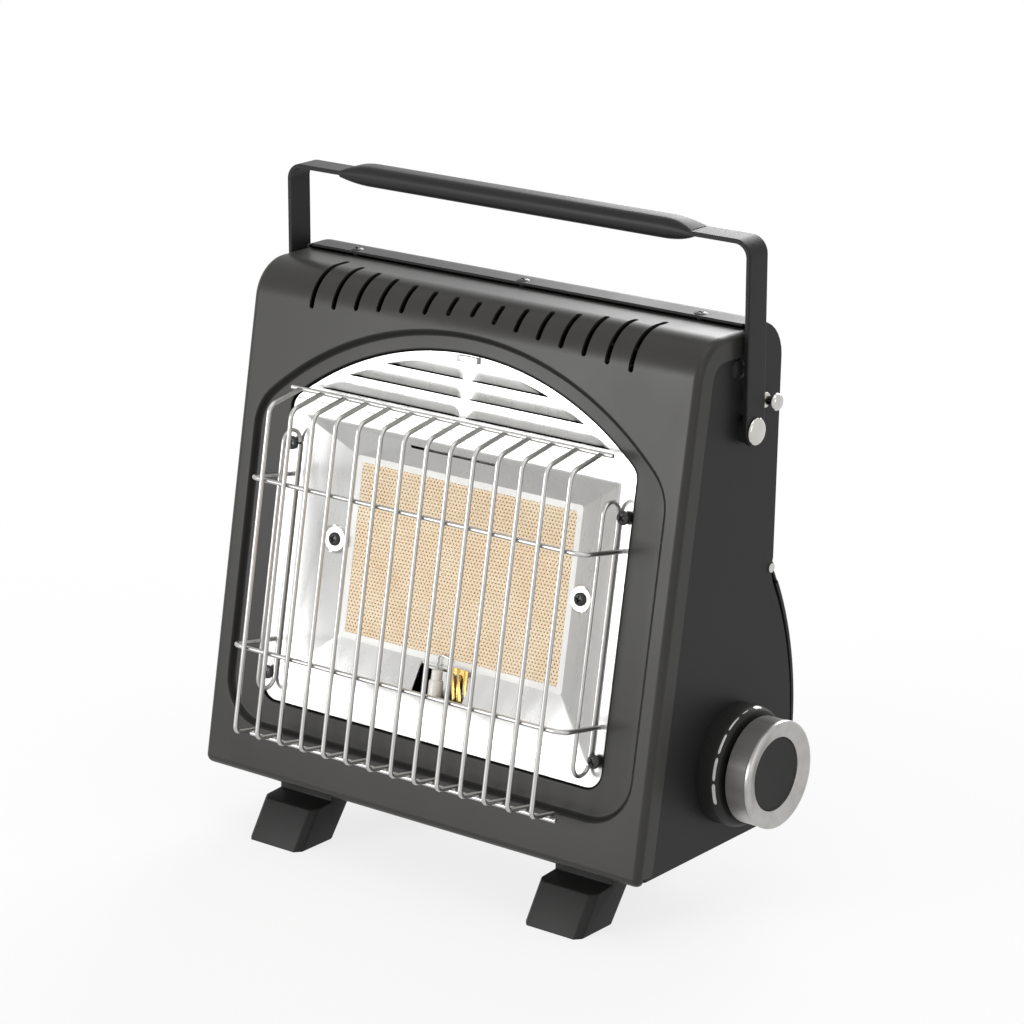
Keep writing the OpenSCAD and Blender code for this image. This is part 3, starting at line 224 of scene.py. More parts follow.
class Mesh:
    """Collects vertices and faces of several forms into one piece."""

    def __init__(self):
        self.vertices = []
        self.faces = []

    def add(self, vertices, faces):
        base = len(self.vertices)
        self.vertices += vertices
        self.faces += [[base + i for i in face] for face in faces]
        return self

    def skin(self, rings):
        """Faces between rings of equal length, with a flat cap at both ends."""
        sides = len(rings[0])
        last = len(rings)*sides - sides
        faces = []
        for a in range(0, last, sides):
            for k in range(sides):
                j = (k + 1) % sides
                faces.append([a + k, a + j, a + sides + j, a + sides + k])
        faces.append(list(range(sides))[::-1])
        faces.append([last + k for k in range(sides)])
        return self.add([v for ring in rings for v in ring], faces)

    def prism(self, outline, n0, n1, place=panel):
        """A straight form over an outline in x and s, between two depths."""
        count = len(outline)
        faces = [list(range(count)), [count + i for i in range(count)][::-1]]
        faces += [[i, (i + 1) % count, count + (i + 1) % count, count + i] for i in range(count)]
        return self.add([place(x, n, s) for n in (n0, n1) for x, s in outline], faces)

    def tube(self, path, radius, sides=12, start=(1, 0, 0)):
        """A round wire along a path, with its ends closed; radius may be a list."""
        radii = radius if isinstance(radius, list) else [radius]*len(path)
        across = Vector(start)
        turns = [2*pi*k/sides for k in range(sides)]
        rings = []
        for before, p, after, r in zip(path[:1] + path, path, path[1:] + path[-1:], radii):
            along = (after - before).normalized()
            across = (across - across.dot(along)*along).normalized()
            other = along.cross(across)
            rings.append([p + r*MM*(cos(t)*across + sin(t)*other) for t in turns])
        return self.skin(rings)

    def lathe(self, place, along, profile, steps=48):
        """A turned form: profile holds radius and distance along the axis."""
        along = Vector(along).normalized()
        across = along.orthogonal().normalized()
        other = along.cross(across)
        turns = [2*pi*k/steps for k in range(steps)]
        vertices, rows = [], []
        for r, h in profile:
            ring = [(cos(t)*across + sin(t)*other)*r*MM for t in turns] if r else [Vector()]
            rows.append(list(range(len(vertices), len(vertices) + len(ring))))
            vertices += [place + along*h*MM + v for v in ring]
        faces = []
        for a, b in zip(rows, rows[1:]):
            for k in range(steps):
                corners = (a[k % len(a)], a[(k + 1) % len(a)], b[(k + 1) % len(b)], b[k % len(b)])
                faces.append(list(dict.fromkeys(corners)))
        if profile[0] != profile[-1]:
            faces += [row for row in (rows[0][::-1], rows[-1]) if len(row) > 1]
        return self.add(vertices, faces)

    def piece(self, name, slot, stands_for=(), sharp=40.0, rides="root"):
        mesh = bpy.data.meshes.new(name)
        mesh.from_pydata([tuple(v) for v in self.vertices], [], self.faces)
        mesh.validate()
        with editing(mesh) as bm:
            bmesh.ops.remove_doubles(bm, verts=bm.verts, dist=JOIN)
            bmesh.ops.recalc_face_normals(bm, faces=bm.faces)
        smooth(mesh, sharp)
        return add_piece(name, mesh, slot, stands_for, rides)


def rounded(path, radius, steps=6):
    """A path of vectors with its inner corners rounded to a bend radius, or to one each from a list."""
    out = [path[0]]
    radii = radius if isinstance(radius, list) else [radius]*(len(path) - 2)
    for a, b, c, r in zip(path, path[1:], path[2:], radii):
        u, v = (a - b).normalized(), (c - b).normalized()
        half = u.angle(v)/2
        reach = r*MM/tan(half)
        middle = b + (u + v).normalized()*r*MM/sin(half)
        p, q = b + u*reach - middle, b + v*reach - middle
        turn = p.angle(q)
        for k in ladder(0, turn, steps):
            out.append(middle + p*sin(turn - k)/sin(turn) + q*sin(k)/sin(turn))
    return out + [path[-1]]


def bevelled(piece, width, angle=30.0):
    """Rounds the sharp edges of a closed piece by real geometry."""
    with editing(piece.data) as bm:
        edges = [e for e in bm.edges if len(e.link_faces) == 2 and e.calc_face_angle(0) > radians(angle)]
        bmesh.ops.bevel(bm, geom=edges, offset=width*MM, segments=3, profile=0.5, affect="EDGES",
                        clamp_overlap=True)
    smooth(piece.data, 50)


# Sheets: a flat layout, u across and v along it, is bent along legs and folded at its sides

NORMAL_STEP = 0.02


def side_fold(u, flat, r):
    """Cross section of a sheet with folded sides: place across, depth and the turn of its skin."""
    d = abs(u) - flat
    if d <= 0:
        return u, 0.0, 0.0
    turn = min(d/r, QUARTER)
    k = copysign(1.0, u)
    return k*(flat + r*sin(turn)), r*(1 - cos(turn)) + max(0.0, d - r*QUARTER), k*turn


def follow(start, heading, legs, v):
    """Place in y and z, and heading, along legs of a length and a radius. Radius 0 is a straight leg."""
    y, z = start
    for i, (length, r) in enumerate(legs):
        d = v if i == len(legs) - 1 else min(v, length)
        if r:
            y += r*(sin(heading + d/r) - sin(heading))
            z -= r*(cos(heading + d/r) - cos(heading))
            heading += d/r
        else:
            y += d*cos(heading)
            z += d*sin(heading)
        v -= d
        if v <= 0 and i:
            break
    return y, z, heading


def leg_ends(legs):
    return list(accumulate((length for length, _ in legs), initial=0.0))


def upright_lines(spots, v0, v1):
    return [([(u, v0), (u, v1)], False) for u in spots]


def level_lines(half, v0, v1, steps):
    return [([(-half, v), (half, v)], False) for v in ladder(v0, v1 - v0, steps)]


def flat_faces(outline, holes, lines):
    """Triangles of a flat layout; their edges follow the outline, the holes and the (line, closed) pairs."""
    points, edges = [], []
    for stretch, closed in [(edge, True) for edge in [outline] + holes] + lines:
        base, count = len(points), len(stretch)
        points.extend(Vector(p) for p in stretch)
        edges.extend((base + i, base + (i + 1) % count) for i in range(count if closed else count - 1))
    spots, _, triangles = delaunay_2d_cdt(points, edges, [], 0, 1e-5)[:3]
    faces = []
    for t in triangles:
        a, b, c = (spots[i] for i in t)
        middle = (a + b + c)/3
        twice_area = (b - a).cross(c - a)
        if abs(twice_area) < 1e-7 or not inside(*middle, outline) or any(inside(*middle, h) for h in holes):
            continue
        faces.append(t if twice_area > 0 else t[::-1])
    return spots, faces


def shell(faces, count):
    """Under side and walls that close a sheet, where each lower point comes count after its upper one."""
    sides = {(a, b) for face in faces for a, b in zip(face, face[1:] + face[:1])}
    walls = [[b, a, a + count, b + count] for a, b in sorted(sides) if (b, a) not in sides]
    return [[i + count for i in face[::-1]] for face in faces], walls


def sheet_piece(name, flat, place, thick, slot, stands_for=(), rides="root"):
    """A sheet from its flat layout; place gives a point of its face, or one under it by a thickness."""
    spots, faces = flat
    count = len(spots)
    vertices = [place(u, v, under) for under in (0.0, thick) for u, v in spots]
    lower, walls = shell(faces, count)
    mesh = bpy.data.meshes.new(name)
    mesh.from_pydata([tuple(v) for v in vertices], [], faces + lower + walls)
    mesh.shade_smooth()
    normals = {}
    for i in sorted({i for face in faces for i in face}):
        u, v = spots[i]
        ways = [place(u + NORMAL_STEP, v, 0.0) - vertices[i], place(u, v + NORMAL_STEP, 0.0) - vertices[i]]
        normals[i] = ways[0].cross(ways[1]).normalized()
    loops = [normals[i] for face in faces for i in face]
    loops += [-normals[i - count] for face in lower for i in face]
    for wall in walls:
        a, b, c = (vertices[i] for i in wall[:3])
        loops += [(b - a).cross(c - b).normalized()]*4
    mesh.normals_split_custom_set([tuple(n) for n in loops])
    return add_piece(name, mesh, slot, stands_for, rides)


# Materials: the noise that varies a finish runs over NOISE_SPAN, and depths are in metres

NOISE_SPAN = (0.3, 0.7)
WAVE_SCALE = 9.0
# Black that painted shade takes a finish down to
SHADE_BLACK = (0.002, 0.002, 0.002, 1)
PAINT_GRAIN = dict(spread=0.03, grain=1500.0, grain_depth=0.000018, wave=0.0003)
TILE_TONES = ((0.90, 0.71, 0.49), (0.97, 0.83, 0.62))
TILE_GRAIN = ((0.92, 0.92, 0.93), (1.0, 1.0, 1.0))


def feed(tree, node, inputs):
    """Gives a node's inputs their values, or the outputs that feed them."""
    for socket, value in inputs.items():
        if isinstance(value, bpy.types.NodeSocket):
            tree.links.new(value, node.inputs[socket])
        else:
            node.inputs[socket].default_value = value
    return node


def add_node(tree, kind, inputs=None, **settings):
    node = tree.nodes.new("ShaderNode" + kind)
    for name, value in settings.items():
        setattr(node, name, value)
    return feed(tree, node, inputs or {})


def noise(tree, scale, detail=2.0, stretch=None):
    """Noise in object space; stretch draws it out along an axis."""
    place = add_node(tree, "TexCoord").outputs["Object"]
    if stretch:
        place = add_node(tree, "Mapping", {"Vector": place, "Scale": stretch}).outputs["Vector"]
    return add_node(tree, "TexNoise", {"Vector": place, "Scale": scale, "Detail": detail}).outputs["Fac"]


def ramp(tree, source, tones):
    """A colour between two tones."""
    node = add_node(tree, "ValToRGB", {"Fac": source})
    for stop, place, color in zip(node.color_ramp.elements, NOISE_SPAN, tones):
        stop.position = place
        stop.color = (*color, 1)
    return node.outputs["Color"]


def span(tree, source, low, high):
    """A value between two."""
    start, end = NOISE_SPAN
    inputs = {"Value": source, "From Min": start, "From Max": end, "To Min": low, "To Max": high}
    return add_node(tree, "MapRange", inputs).outputs["Result"]


def relief(tree, shader, sources):
    """Chains bumps, each a (source, strength, distance), into the shader's normal."""
    last = {}
    for source, strength, distance in sources:
        bump = add_node(tree, "Bump", {"Height": source, "Strength": strength, "Distance": distance, **last})
        last = {"Normal": bump.outputs["Normal"]}
    feed(tree, shader, last)


def new_material(name):
    mat = bpy.data.materials.new(name)
    mat.use_nodes = True
    tree = mat.node_tree
    return mat, tree, next(n for n in tree.nodes if n.type == "BSDF_PRINCIPLED")


def surface(name, color, rough, metallic=0.0, spread=0.05, patch=30.0, tone=0.1, grain=1400.0,
            grain_depth=0.00002, wave=0.0, stretch=None, drawn=True, coat=0.0, specular=0.5, shaded_by_paint=False):
    """A finish whose tone and gloss vary in soft patches over a fine grain, which may be drawn out too, and
    which may carry painted shade from a mesh attribute.
    """
    mat, tree, shader = new_material(name)
    patches = noise(tree, patch, 4.0, stretch)
    tones = ramp(tree, patches, [[min(1.0, c*k) for c in color] for k in (1 - tone, 1 + tone)])
    gloss = span(tree, patches, rough - spread, rough + spread)
    feed(tree, shader, {"Base Color": tones, "Roughness": gloss, "Metallic": metallic, "Coat Weight": coat,
                        "Specular IOR Level": specular})
    sources = [(noise(tree, grain, 3.0, stretch if drawn else None), 1.0, grain_depth)]
    if wave:
        sources.insert(0, (noise(tree, WAVE_SCALE, 1.0), 1.0, wave))
    relief(tree, shader, sources)
    # Painted shade in grooves and at rolled edges, where it is asked for
    if shaded_by_paint:
        paint_in_shade(tree, shader, tones, specular)
    return mat


def paint_in_shade(tree, shader, color, specular):
    """Painted shade: the mesh attribute that holds painted shade takes a finish down to black, with little
    gloss, in grooves and at rolled edges.
    """
    share = add_node(tree, "Attribute", attribute_name="painted_shade").outputs["Fac"]
    mix = add_node(tree, "Mix", {"Factor": share, "A": color, "B": SHADE_BLACK}, data_type="RGBA")
    level = add_node(tree, "MapRange", {"Value": share, "To Min": specular, "To Max": 0.02})
    feed(tree, shader, {"Base Color": mix.outputs["Result"], "Specular IOR Level": level.outputs["Result"]})


def tile_material():
    """Warm fired ceramic with a fine grain."""
    mat, tree, shader = new_material("tile_ceramic")
    fine = noise(tree, 900.0)
    base = ramp(tree, noise(tree, 55.0, 4.0), TILE_TONES)
    mix = add_node(tree, "Mix", {"Factor": 1.0, "A": base, "B": ramp(tree, fine, TILE_GRAIN)},
                   data_type="RGBA", blend_type="MULTIPLY")
    feed(tree, shader, {"Base Color": mix.outputs["Result"], "Roughness": span(tree, fine, 0.8, 0.95)})
    relief(tree, shader, [(fine, 0.6, 0.00005)])
    return mat


FINISHES = {
    # The charcoal paint takes painted shade from the front panel's attribute
    "charcoal_paint": dict(color=(0.029, 0.028, 0.026), rough=0.36, tone=0.06, specular=0.28,
        shaded_by_paint=True, **PAINT_GRAIN),
    "black_paint": dict(color=(0.0175, 0.017, 0.017), rough=0.42, tone=0.08, specular=0.17, **PAINT_GRAIN),
    "bright_sheet": dict(color=(0.56, 0.56, 0.55), rough=0.28, metallic=1.0, spread=0.03,
        patch=14.0, tone=0.02, grain=700.0, grain_depth=0.000008, wave=0.0005,
        stretch=(6, 6, 0.5), drawn=False),
    "guard_wire": dict(color=(0.52, 0.515, 0.50), rough=0.32, metallic=1.0, tone=0.06,
        grain=900.0, grain_depth=0.000004),
    "white_ceramic": dict(color=(0.83, 0.80, 0.74), rough=0.3, spread=0.06, tone=0.04,
        grain=900.0, coat=0.2),
    "plain_steel": dict(color=(0.45, 0.45, 0.44), rough=0.38, metallic=1.0, patch=60.0, tone=0.05,
        stretch=(1, 8, 8)),
    "rivet_steel": dict(color=(0.56, 0.545, 0.52), rough=0.18, metallic=1.0, spread=0.06, patch=90.0),
    "brass": dict(color=(0.66, 0.44, 0.14), rough=0.26, metallic=1.0, spread=0.07, patch=80.0),
    "copper": dict(color=(0.75, 0.36, 0.2), rough=0.3, metallic=1.0, spread=0.08, patch=70.0),
    "black_plastic": dict(color=(0.016, 0.0155, 0.015), rough=0.5, grain=1100.0, grain_depth=0.00003,
        specular=0.22),
    "knob_silver": dict(color=(0.45, 0.44, 0.425), rough=0.33, metallic=0.72, spread=0.04,
        patch=160.0, stretch=(0.1, 1, 1), grain=1800.0, grain_depth=0.000012),
    "seal_rubber": dict(color=(0.02, 0.02, 0.02), rough=0.75, tone=0.15),
    "fibre": dict(color=(0.94, 0.93, 0.90), rough=0.92, tone=0.08, grain=500.0, grain_depth=0.0001),
    "lead_sleeve": dict(color=(0.42, 0.05, 0.03), rough=0.5, tone=0.12),
    "dark_screw": dict(color=(0.045, 0.045, 0.045), rough=0.35, metallic=0.6, tone=0.15, patch=200.0),
}
MATERIALS = {name: surface(name, **finish) for name, finish in FINISHES.items()}
MATERIALS["tile_ceramic"] = tile_material()


def dress_nodes():
    """Gives every node of the frame the material of its slot."""
    slots = {part["node"]: part["material_slot"] for part in frame["record"]["subparts"]}
    for name, node in frame["nodes"].items():
        for slot in node.material_slots:
            slot.material = MATERIALS[slots[name]]


dress_nodes()


# Front panel: one pressed sheet with a recess, a window, slots and folded edges

FOLD = EDGE*QUARTER
FLAT_HALF = HALF - EDGE
FOLD_STEPS = ladder(FLAT_HALF, FOLD, 6)
U_END = FLAT_HALF + FOLD + FLANGE - EDGE
V_BEND = BEND_S + TOP_BEND*(QUARTER - LEAN)
V_TOP = V_BEND + SEAM_Y - BEND_Y
V_LIP = LOW_S - LOW_BEND*(QUARTER + LEAN)
V_LOW = V_LIP - (LIP - LOW_S)
FRONT_LEGS = [(V_LIP - V_LOW, 0), (LOW_S - V_LIP, -LOW_BEND), (BEND_S - LOW_S, 0),
              (V_BEND - BEND_S, -TOP_BEND), (V_TOP - V_BEND, 0)]
RECESS_SHAPE = (119.5, 24.5, 165.3, 25.0, 22.0)
OPEN_SHAPE = (OPEN_HALF, OPEN_S, OPEN_ARCH, OPEN_R, OPEN_R)
SLOPE_FROM, SLOPE_TO = -0.8, 2.6
EDGE_ROLL, EDGE_THIN = 1.7, 0.9
# Strengths of the shade painted into the recess's groove and at the opening's rolled edge
GROOVE_SHADE_PAINT, EDGE_SHADE_PAINT = 0.6, 1.5
LIP_IN, CORNER_CUT = 4.0, 1.5
SLOT_LAST, SLOT_PITCH, SLOT_R = 7, 13.2, 1.4
SLOT_UP, SLOT_DOWN = 9.2, 1.2
SLOT_Y, SLOT_Y_END = 52.0, 68.5
RECESS_LINE = arched(*RECESS_SHAPE, fine=2)
OPEN_LINE = arched(*OPEN_SHAPE)


def edge_near(u, v):
    """From 0 where the edge of the opening starts to roll in, to 1 at the edge itself."""
    return clamp(1 - max(0.0, -edge_distance(u, v, OPEN_LINE))/EDGE_ROLL)


def edge_roll(u, v):
    """From 0 on the flat sheet to 1 at the rolled-in edge of the opening."""
    return 1 - sqrt(1 - edge_near(u, v)**2)


def recess_share(u, v):
    """From 0 outside the recess to 1 on its floor."""
    return clamp((edge_distance(u, v, RECESS_LINE) - SLOPE_FROM)/(SLOPE_TO - SLOPE_FROM))


def pressed(u, v):
    """How deep the sheet is pressed in at a place of its face."""
    return RECESS*ease(recess_share(u, v)) + (SHEET - 0.1)*edge_roll(u, v)


def painted_shade(u, v):
    """Painted shade: how dark the groove of the recess and the rolled edge of the opening are painted, where
    shade falls.
    """
    t = recess_share(u, v)
    return max(GROOVE_SHADE_PAINT*4*t*(1 - t), min(1.0, EDGE_SHADE_PAINT*edge_near(u, v)))


def front_place(u, v, under):
    """A point of the panel's face, or one under it by a thickness."""
    x, n, turn = side_fold(u, FLAT_HALF, EDGE)
    y, z, way = follow((LIP, 0.0), pi, FRONT_LEGS, v - V_LOW)
    under *= 1 - EDGE_THIN*edge_roll(u, v)
    n += pressed(u, v) + under*cos(turn)
    return body(x - under*sin(turn), y + n*sin(way), z - n*cos(way))


def top_slots():
    """Outlines of the slots over the top bend, longer towards the sides."""
    slots = []
    for i in range(-SLOT_LAST, SLOT_LAST + 1):
        k = abs(i)/SLOT_LAST
        v0 = BEND_S + SLOT_UP - (SLOT_UP + SLOT_DOWN)*k
        v1 = V_BEND + SLOT_Y + (SLOT_Y_END - SLOT_Y)*k*k - BEND_Y
        x = i*SLOT_PITCH
        slots.append(arc(x, v1 - SLOT_R, SLOT_R, 0, 180, 6) + arc(x, v0 + SLOT_R, SLOT_R, 180, 360, 6))
    return slots


def panel_outline():
    """Edge of the sheet laid flat: the body with its side flanges, and the narrower lip below."""
    right = [(FLAT_HALF - LIP_IN, V_LOW), (FLAT_HALF, V_LOW + LIP_IN)] + [(u, V_LIP) for u in FOLD_STEPS]
    right += [(FOLD_STEPS[-1], LOW_S), (U_END - CORNER_CUT, LOW_S + 0.02), (U_END, LOW_S + CORNER_CUT)]
    return mirrored(right + [(U_END, V_TOP)])


def front_panel():
    lines = [(arched(*RECESS_SHAPE, grow=-g), True) for g in ladder(SLOPE_FROM, SLOPE_TO - SLOPE_FROM, 8)]
    lines += [(arched(*OPEN_SHAPE, grow=EDGE_ROLL*k), True) for k in (0.02, 0.08, 0.18, 0.35, 0.6, 1.0)]
    lines += level_lines(U_END, BEND_S, V_BEND, 14)
    lines += level_lines(FLAT_HALF + FOLD, V_LIP, LOW_S, 8)
    lines += upright_lines([k*u for u in FOLD_STEPS for k in (-1, 1)], V_LIP, V_TOP)
    flat = flat_faces(panel_outline(), [OPEN_LINE] + top_slots(), lines)
    piece = sheet_piece("front_panel_pressed", flat, front_place, SHEET, "charcoal_paint", ["front_panel"])
    # Painted shade, stored on every point of the face and of the underside
    shares = piece.data.attributes.new("painted_shade", "FLOAT", "POINT")
    shares.data.foreach_set("value", [painted_shade(*spot) for spot in flat[0]]*2)


front_panel()


# Bright sheets: the reflector tray, and the fascia with its pressed louvres

FOLD_W, FOLD_S0, FOLD_S1 = 91.5, 48.5, 175.5
SEE_W, SEE_S0, SEE_S1 = 66.0, 73.8, 160.8
TRAY_N, TRAY_SOFT, CREASE = 14.0, 0.7, 0.9
PAD_X, PAD_S, PAD_R, PAD_N, PAD_SLOPE = 72.3, 119.5, 5.6, 11.0, 1.6
SCREW_X, SCREW_S, SCREW_HOLE = 96.6, (51.3, 161.5), 1.6
WINDOW = box_outline(-15.0, 15.0, 59.0, 72.8)
VENT = box_outline(-30.0, 20.0, 170.5, 171.9)
FASCIA_S, LAP = 183.0, 6.0
LOUVRE_ROWS = [FASCIA_S + 6.5 + 8.65*i for i in range(3)]
LOUVRE_H, LOUVRE_IN, LOUVRE_OUT = 5.4, 3.8, 1.3
RIB = 2.0
HOOD_THIN = 0.7
TAB_HALF, TAB_LOW, TAB_HIGH, TAB_N = 6.0, 3.5, 0.4, 2.2


def soft_min(a, b):
    """The smaller value, with a round change-over."""
    h = clamp(0.5 + 0.5*(b - a)/TRAY_SOFT)
    return b + (a - b)*h - TRAY_SOFT*h*(1 - h)


def tray_depth(x, s):
    """Depth of the reflector behind the panel face: a flange, four slopes and two round pads."""
    fall = TRAY_N - PAN_N
    d = fall*(FOLD_W - abs(x))/(FOLD_W - SEE_W)
    for fold, see in ((FOLD_S0, SEE_S0), (FOLD_S1, SEE_S1)):
        d = soft_min(d, fall*(s - fold)/(see - fold))
    d = -soft_min(-d, 0.0)
    t = ease(1 - (hypot(abs(x) - PAD_X, s - PAD_S) - PAD_R)/PAD_SLOPE)
    return PAN_N + d*(1 - t) + (PAD_N - PAN_N)*t


def reflector():
    outline = round_box(OPEN_HALF + LAP, OPEN_S - LAP, FASCIA_S - 0.3, OPEN_R)
    lines = []
    for out in (-CREASE, 0.0, CREASE):
        lines.append((round_box(FOLD_W + out, FOLD_S0 - out, FOLD_S1 + out, 1.0, 2), True))
        for k in (-1, 1):
            for s0, s1, turn in ((FOLD_S0, SEE_S0, 1), (FOLD_S1, SEE_S1, -1)):
                lines.append(([(k*(FOLD_W - out), s0 + out*turn), (k*(SEE_W - out), s1 + out*turn)], False))
    for k in (-1, 1):
        lines += [(circle(k*PAD_X, PAD_S, PAD_R + r, 24), True) for r in (0.0, 0.5, 1.0, PAD_SLOPE)]
    holes = [round_box(SEE_W, SEE_S0, SEE_S1, 1.5, 3), WINDOW, VENT]
    holes += [circle(k*PAD_X, PAD_S, SCREW_HOLE, 12) for k in (-1, 1)]
    holes += [circle(k*SCREW_X, s, SCREW_HOLE, 12) for k in (-1, 1) for s in SCREW_S]

    def place(u, v, under):
        return panel(u, tray_depth(u, v) + under, v)

    sheet_piece("reflector_pressed", flat_faces(outline, holes, lines), place, BRIGHT, "bright_sheet",
                ["reflector"])


def hood(mesh, place, reach, top, low, depth, thick, steps=(44, 9), slope=5.0):
    """A louvre pressed out of a sheet: flush along its top and ends, standing off along its lower cut."""
    across, down = steps
    row = across + 1
    spots = []
    for t in ladder(0, 1, down):
        s = top + (low - top)*t
        x0, x1 = reach(s)
        for q in ladder(0, 1, across):
            x = x0 + (x1 - x0)*(ease(q)*0.6 + q*0.4)
            spots.append((x, depth*ease(min(x - x0, x1 - x)/slope)*t**1.6, s))
    faces = [[a, a + 1, a + row + 1, a + row] for b in range(0, down*row, row) for a in range(b, b + across)]
    lower, walls = shell(faces, len(spots))
    mesh.add([place(x, d + under, s) for under in (0.0, thick) for x, d, s in spots], faces + lower + walls)


def louvre_end(s):
    return sqrt((OPEN_ARCH - LOUVRE_IN)**2 - (s - ARCH_S)**2)


def fascia_plate():
    r = OPEN_ARCH + LAP
    low = sqrt(r**2 - (FASCIA_S - ARCH_S)**2) - 1
    half = [(low, FASCIA_S)] + [p for p in arc(0, ARCH_S, r, 30, 89.5, 60) if p[1] > FASCIA_S and p[0] < low]
    holes = []
    for s in LOUVRE_ROWS:
        slot = [(RIB, s)] + [(louvre_end(v), v) for v in ladder(s, LOUVRE_H, 4)] + [(RIB, s + LOUVRE_H)]
        holes += [slot, [(-x, y) for x, y in reversed(slot)]]

    def place(u, v, under):
        return panel(u, PAN_N + under, v)

    sheet_piece("fascia_plate", flat_faces(mirrored(half), holes, []), place, BRIGHT, "bright_sheet",
                ["louvre_fascia"])


def fascia_louvres():
    mesh = Mesh()
    for s in LOUVRE_ROWS:
        for reach in (lambda v: (-louvre_end(v), -RIB), lambda v: (RIB, louvre_end(v))):
            hood(mesh, lambda x, d, v: panel(x, PAN_N + d, v), reach, s + LOUVRE_H, s + 0.6, LOUVRE_OUT,
                 BRIGHT*HOOD_THIN)
    mesh.piece("fascia_louvres", "bright_sheet", (), 50)


def fascia_tab():
    """The small tab that hooks behind the top of the opening."""
    top = ARCH_S + OPEN_ARCH
    outline = box_outline(-TAB_HALF, TAB_HALF, top - TAB_LOW, top - TAB_HIGH)
    bevelled(Mesh().prism(outline, TAB_N, PAN_N).piece("fascia_tab", "bright_sheet"), 0.4)


reflector()
fascia_plate()
fascia_louvres()
fascia_tab()


# Burner: the perforated tile and the white fibre strip round its edge

TILE_W, TILE_S0, TILE_S1 = 68.0, 71.8, 162.8
TILE_N, TILE_T = 14.3, 13.0
PIT_PITCH, PIT_R, PIT_DEEP = 1.9, 0.52, 1.1
PIT_RINGS = ((PIT_PITCH/sqrt(3), 0.0), (PIT_R, 0.0), (PIT_R - 0.06, 0.25), (PIT_R - 0.12, PIT_DEEP))
STRIP, STRIP_LAP = 3.2, 1.2
STRIP_T, STRIP_ROLL = 0.22, 0.5


def tile_face():
    """The face of the tile: a honeycomb of cells, each with its burner hole."""
    row_step = PIT_PITCH*sqrt(3)/2
    edge = STRIP - STRIP_LAP
    rows = int((SEE_S1 - SEE_S0 - 2*edge)/row_step)
    columns = int((SEE_W - edge)/PIT_PITCH)
    first = (SEE_S0 + SEE_S1)/2 - (rows - 1)*row_step/2
    turns = [radians(30 + 60*k) for k in range(6)]
    faces = [[a + k, a + (k + 1) % 6, a + 6 + (k + 1) % 6, a + 6 + k] for a in (0, 6, 12) for k in range(6)]
    faces.append([18 + k for k in range(6)])
    points = [(r*cos(t), TILE_N + n, r*sin(t)) for r, n in PIT_RINGS for t in turns]
    mesh = Mesh()
    for j in range(rows):
        s = first + j*row_step
        for i in range(-columns, columns + j % 2):
            x = (i + 0.5 - 0.5*(j % 2))*PIT_PITCH
            mesh.add([panel(x + a, n, s + b) for a, n, b in points], faces)
    mesh.piece("tile_face", "tile_ceramic", ["ceramic_tile"], 35)


def tile_body():
    """The body of the tile, behind its holes."""
    outline = box_outline(-TILE_W, TILE_W, TILE_S0, TILE_S1)
    Mesh().prism(outline, TILE_N + PIT_DEEP + 0.1, TILE_N + TILE_T).piece("tile_body", "tile_ceramic")


def tile_strip():
    """The white strip that covers the edge of the tile all round."""
    w, s0, s1 = SEE_W - STRIP, SEE_S0 + STRIP, SEE_S1 - STRIP
    hole, *lines = (round_box(w + g, s0 - g, s1 + g, 0.8 + g, 3) for g in (0.0, STRIP_ROLL/2, STRIP_ROLL))

    def place(u, v, under):
        t = max(0.0, 1 - max(abs(u) - w, s0 - v, v - s1)/STRIP_ROLL)
        return panel(u, TILE_N - STRIP_T + STRIP_T*t*t*0.8 + under, v)

    flat = flat_faces(round_box(TILE_W, TILE_S0, TILE_S1, 0.5, 1), [hole], [(line, True) for line in lines])
    sheet_piece("tile_edge_strip", flat, place, STRIP_T, "fibre")


tile_face()
tile_body()
tile_strip()


# Guard: uprights, cross wires, rods and the loops that hold it

WIRE_R, CLIP_R = 1.12, 1.0
GUARD_H, GUARD_S0, GUARD_S1 = 28.0, 27.0, 188.5
UPRIGHTS, UPRIGHT_PITCH = 14, 13.46
UPRIGHT_LINE = [(-11.7, GUARD_S0), (-GUARD_H, GUARD_S0), (-GUARD_H, GUARD_S1 - 7), (-8.3, GUARD_S1)]
CROSS_HALF, CROSS_S = 97.0, (67.0, 146.5)
ROD_PLACES = ((90.5, -13.0, 24.4), (93.5, -6.6, 188.9))
CLIP_X, CLIP_S0, CLIP_S1 = 93.2, 50.3, 162.5
CLIP_N, CLIP_BOW = PAN_N - 1.1, 5.9


def guard_piece(mesh, node):
    mesh.piece(node + "_wire", "guard_wire", [node], 60)


def guard_uprights():
    mesh = Mesh()
    for i in range(UPRIGHTS):
        x = (i - (UPRIGHTS - 1)/2)*UPRIGHT_PITCH
        mesh.tube(rounded([panel(x, n, s) for n, s in UPRIGHT_LINE], [3.0, 5.5], 8), WIRE_R)
    guard_piece(mesh, "guard_uprights")


def guard_cross_wires():
    mesh = Mesh()
    h = GUARD_H - 2*WIRE_R - 0.05
    line = [(k*CROSS_HALF, n) for k, n in ((-1, PAN_N - 0.1), (-1, -h), (1, -h), (1, PAN_N - 0.1))]
    for s in CROSS_S:
        mesh.tube(rounded([panel(x, n, s) for x, n in line], 5.5, 10), WIRE_R, 12, (0, 0, 1))
    guard_piece(mesh, "guard_cross_wires")


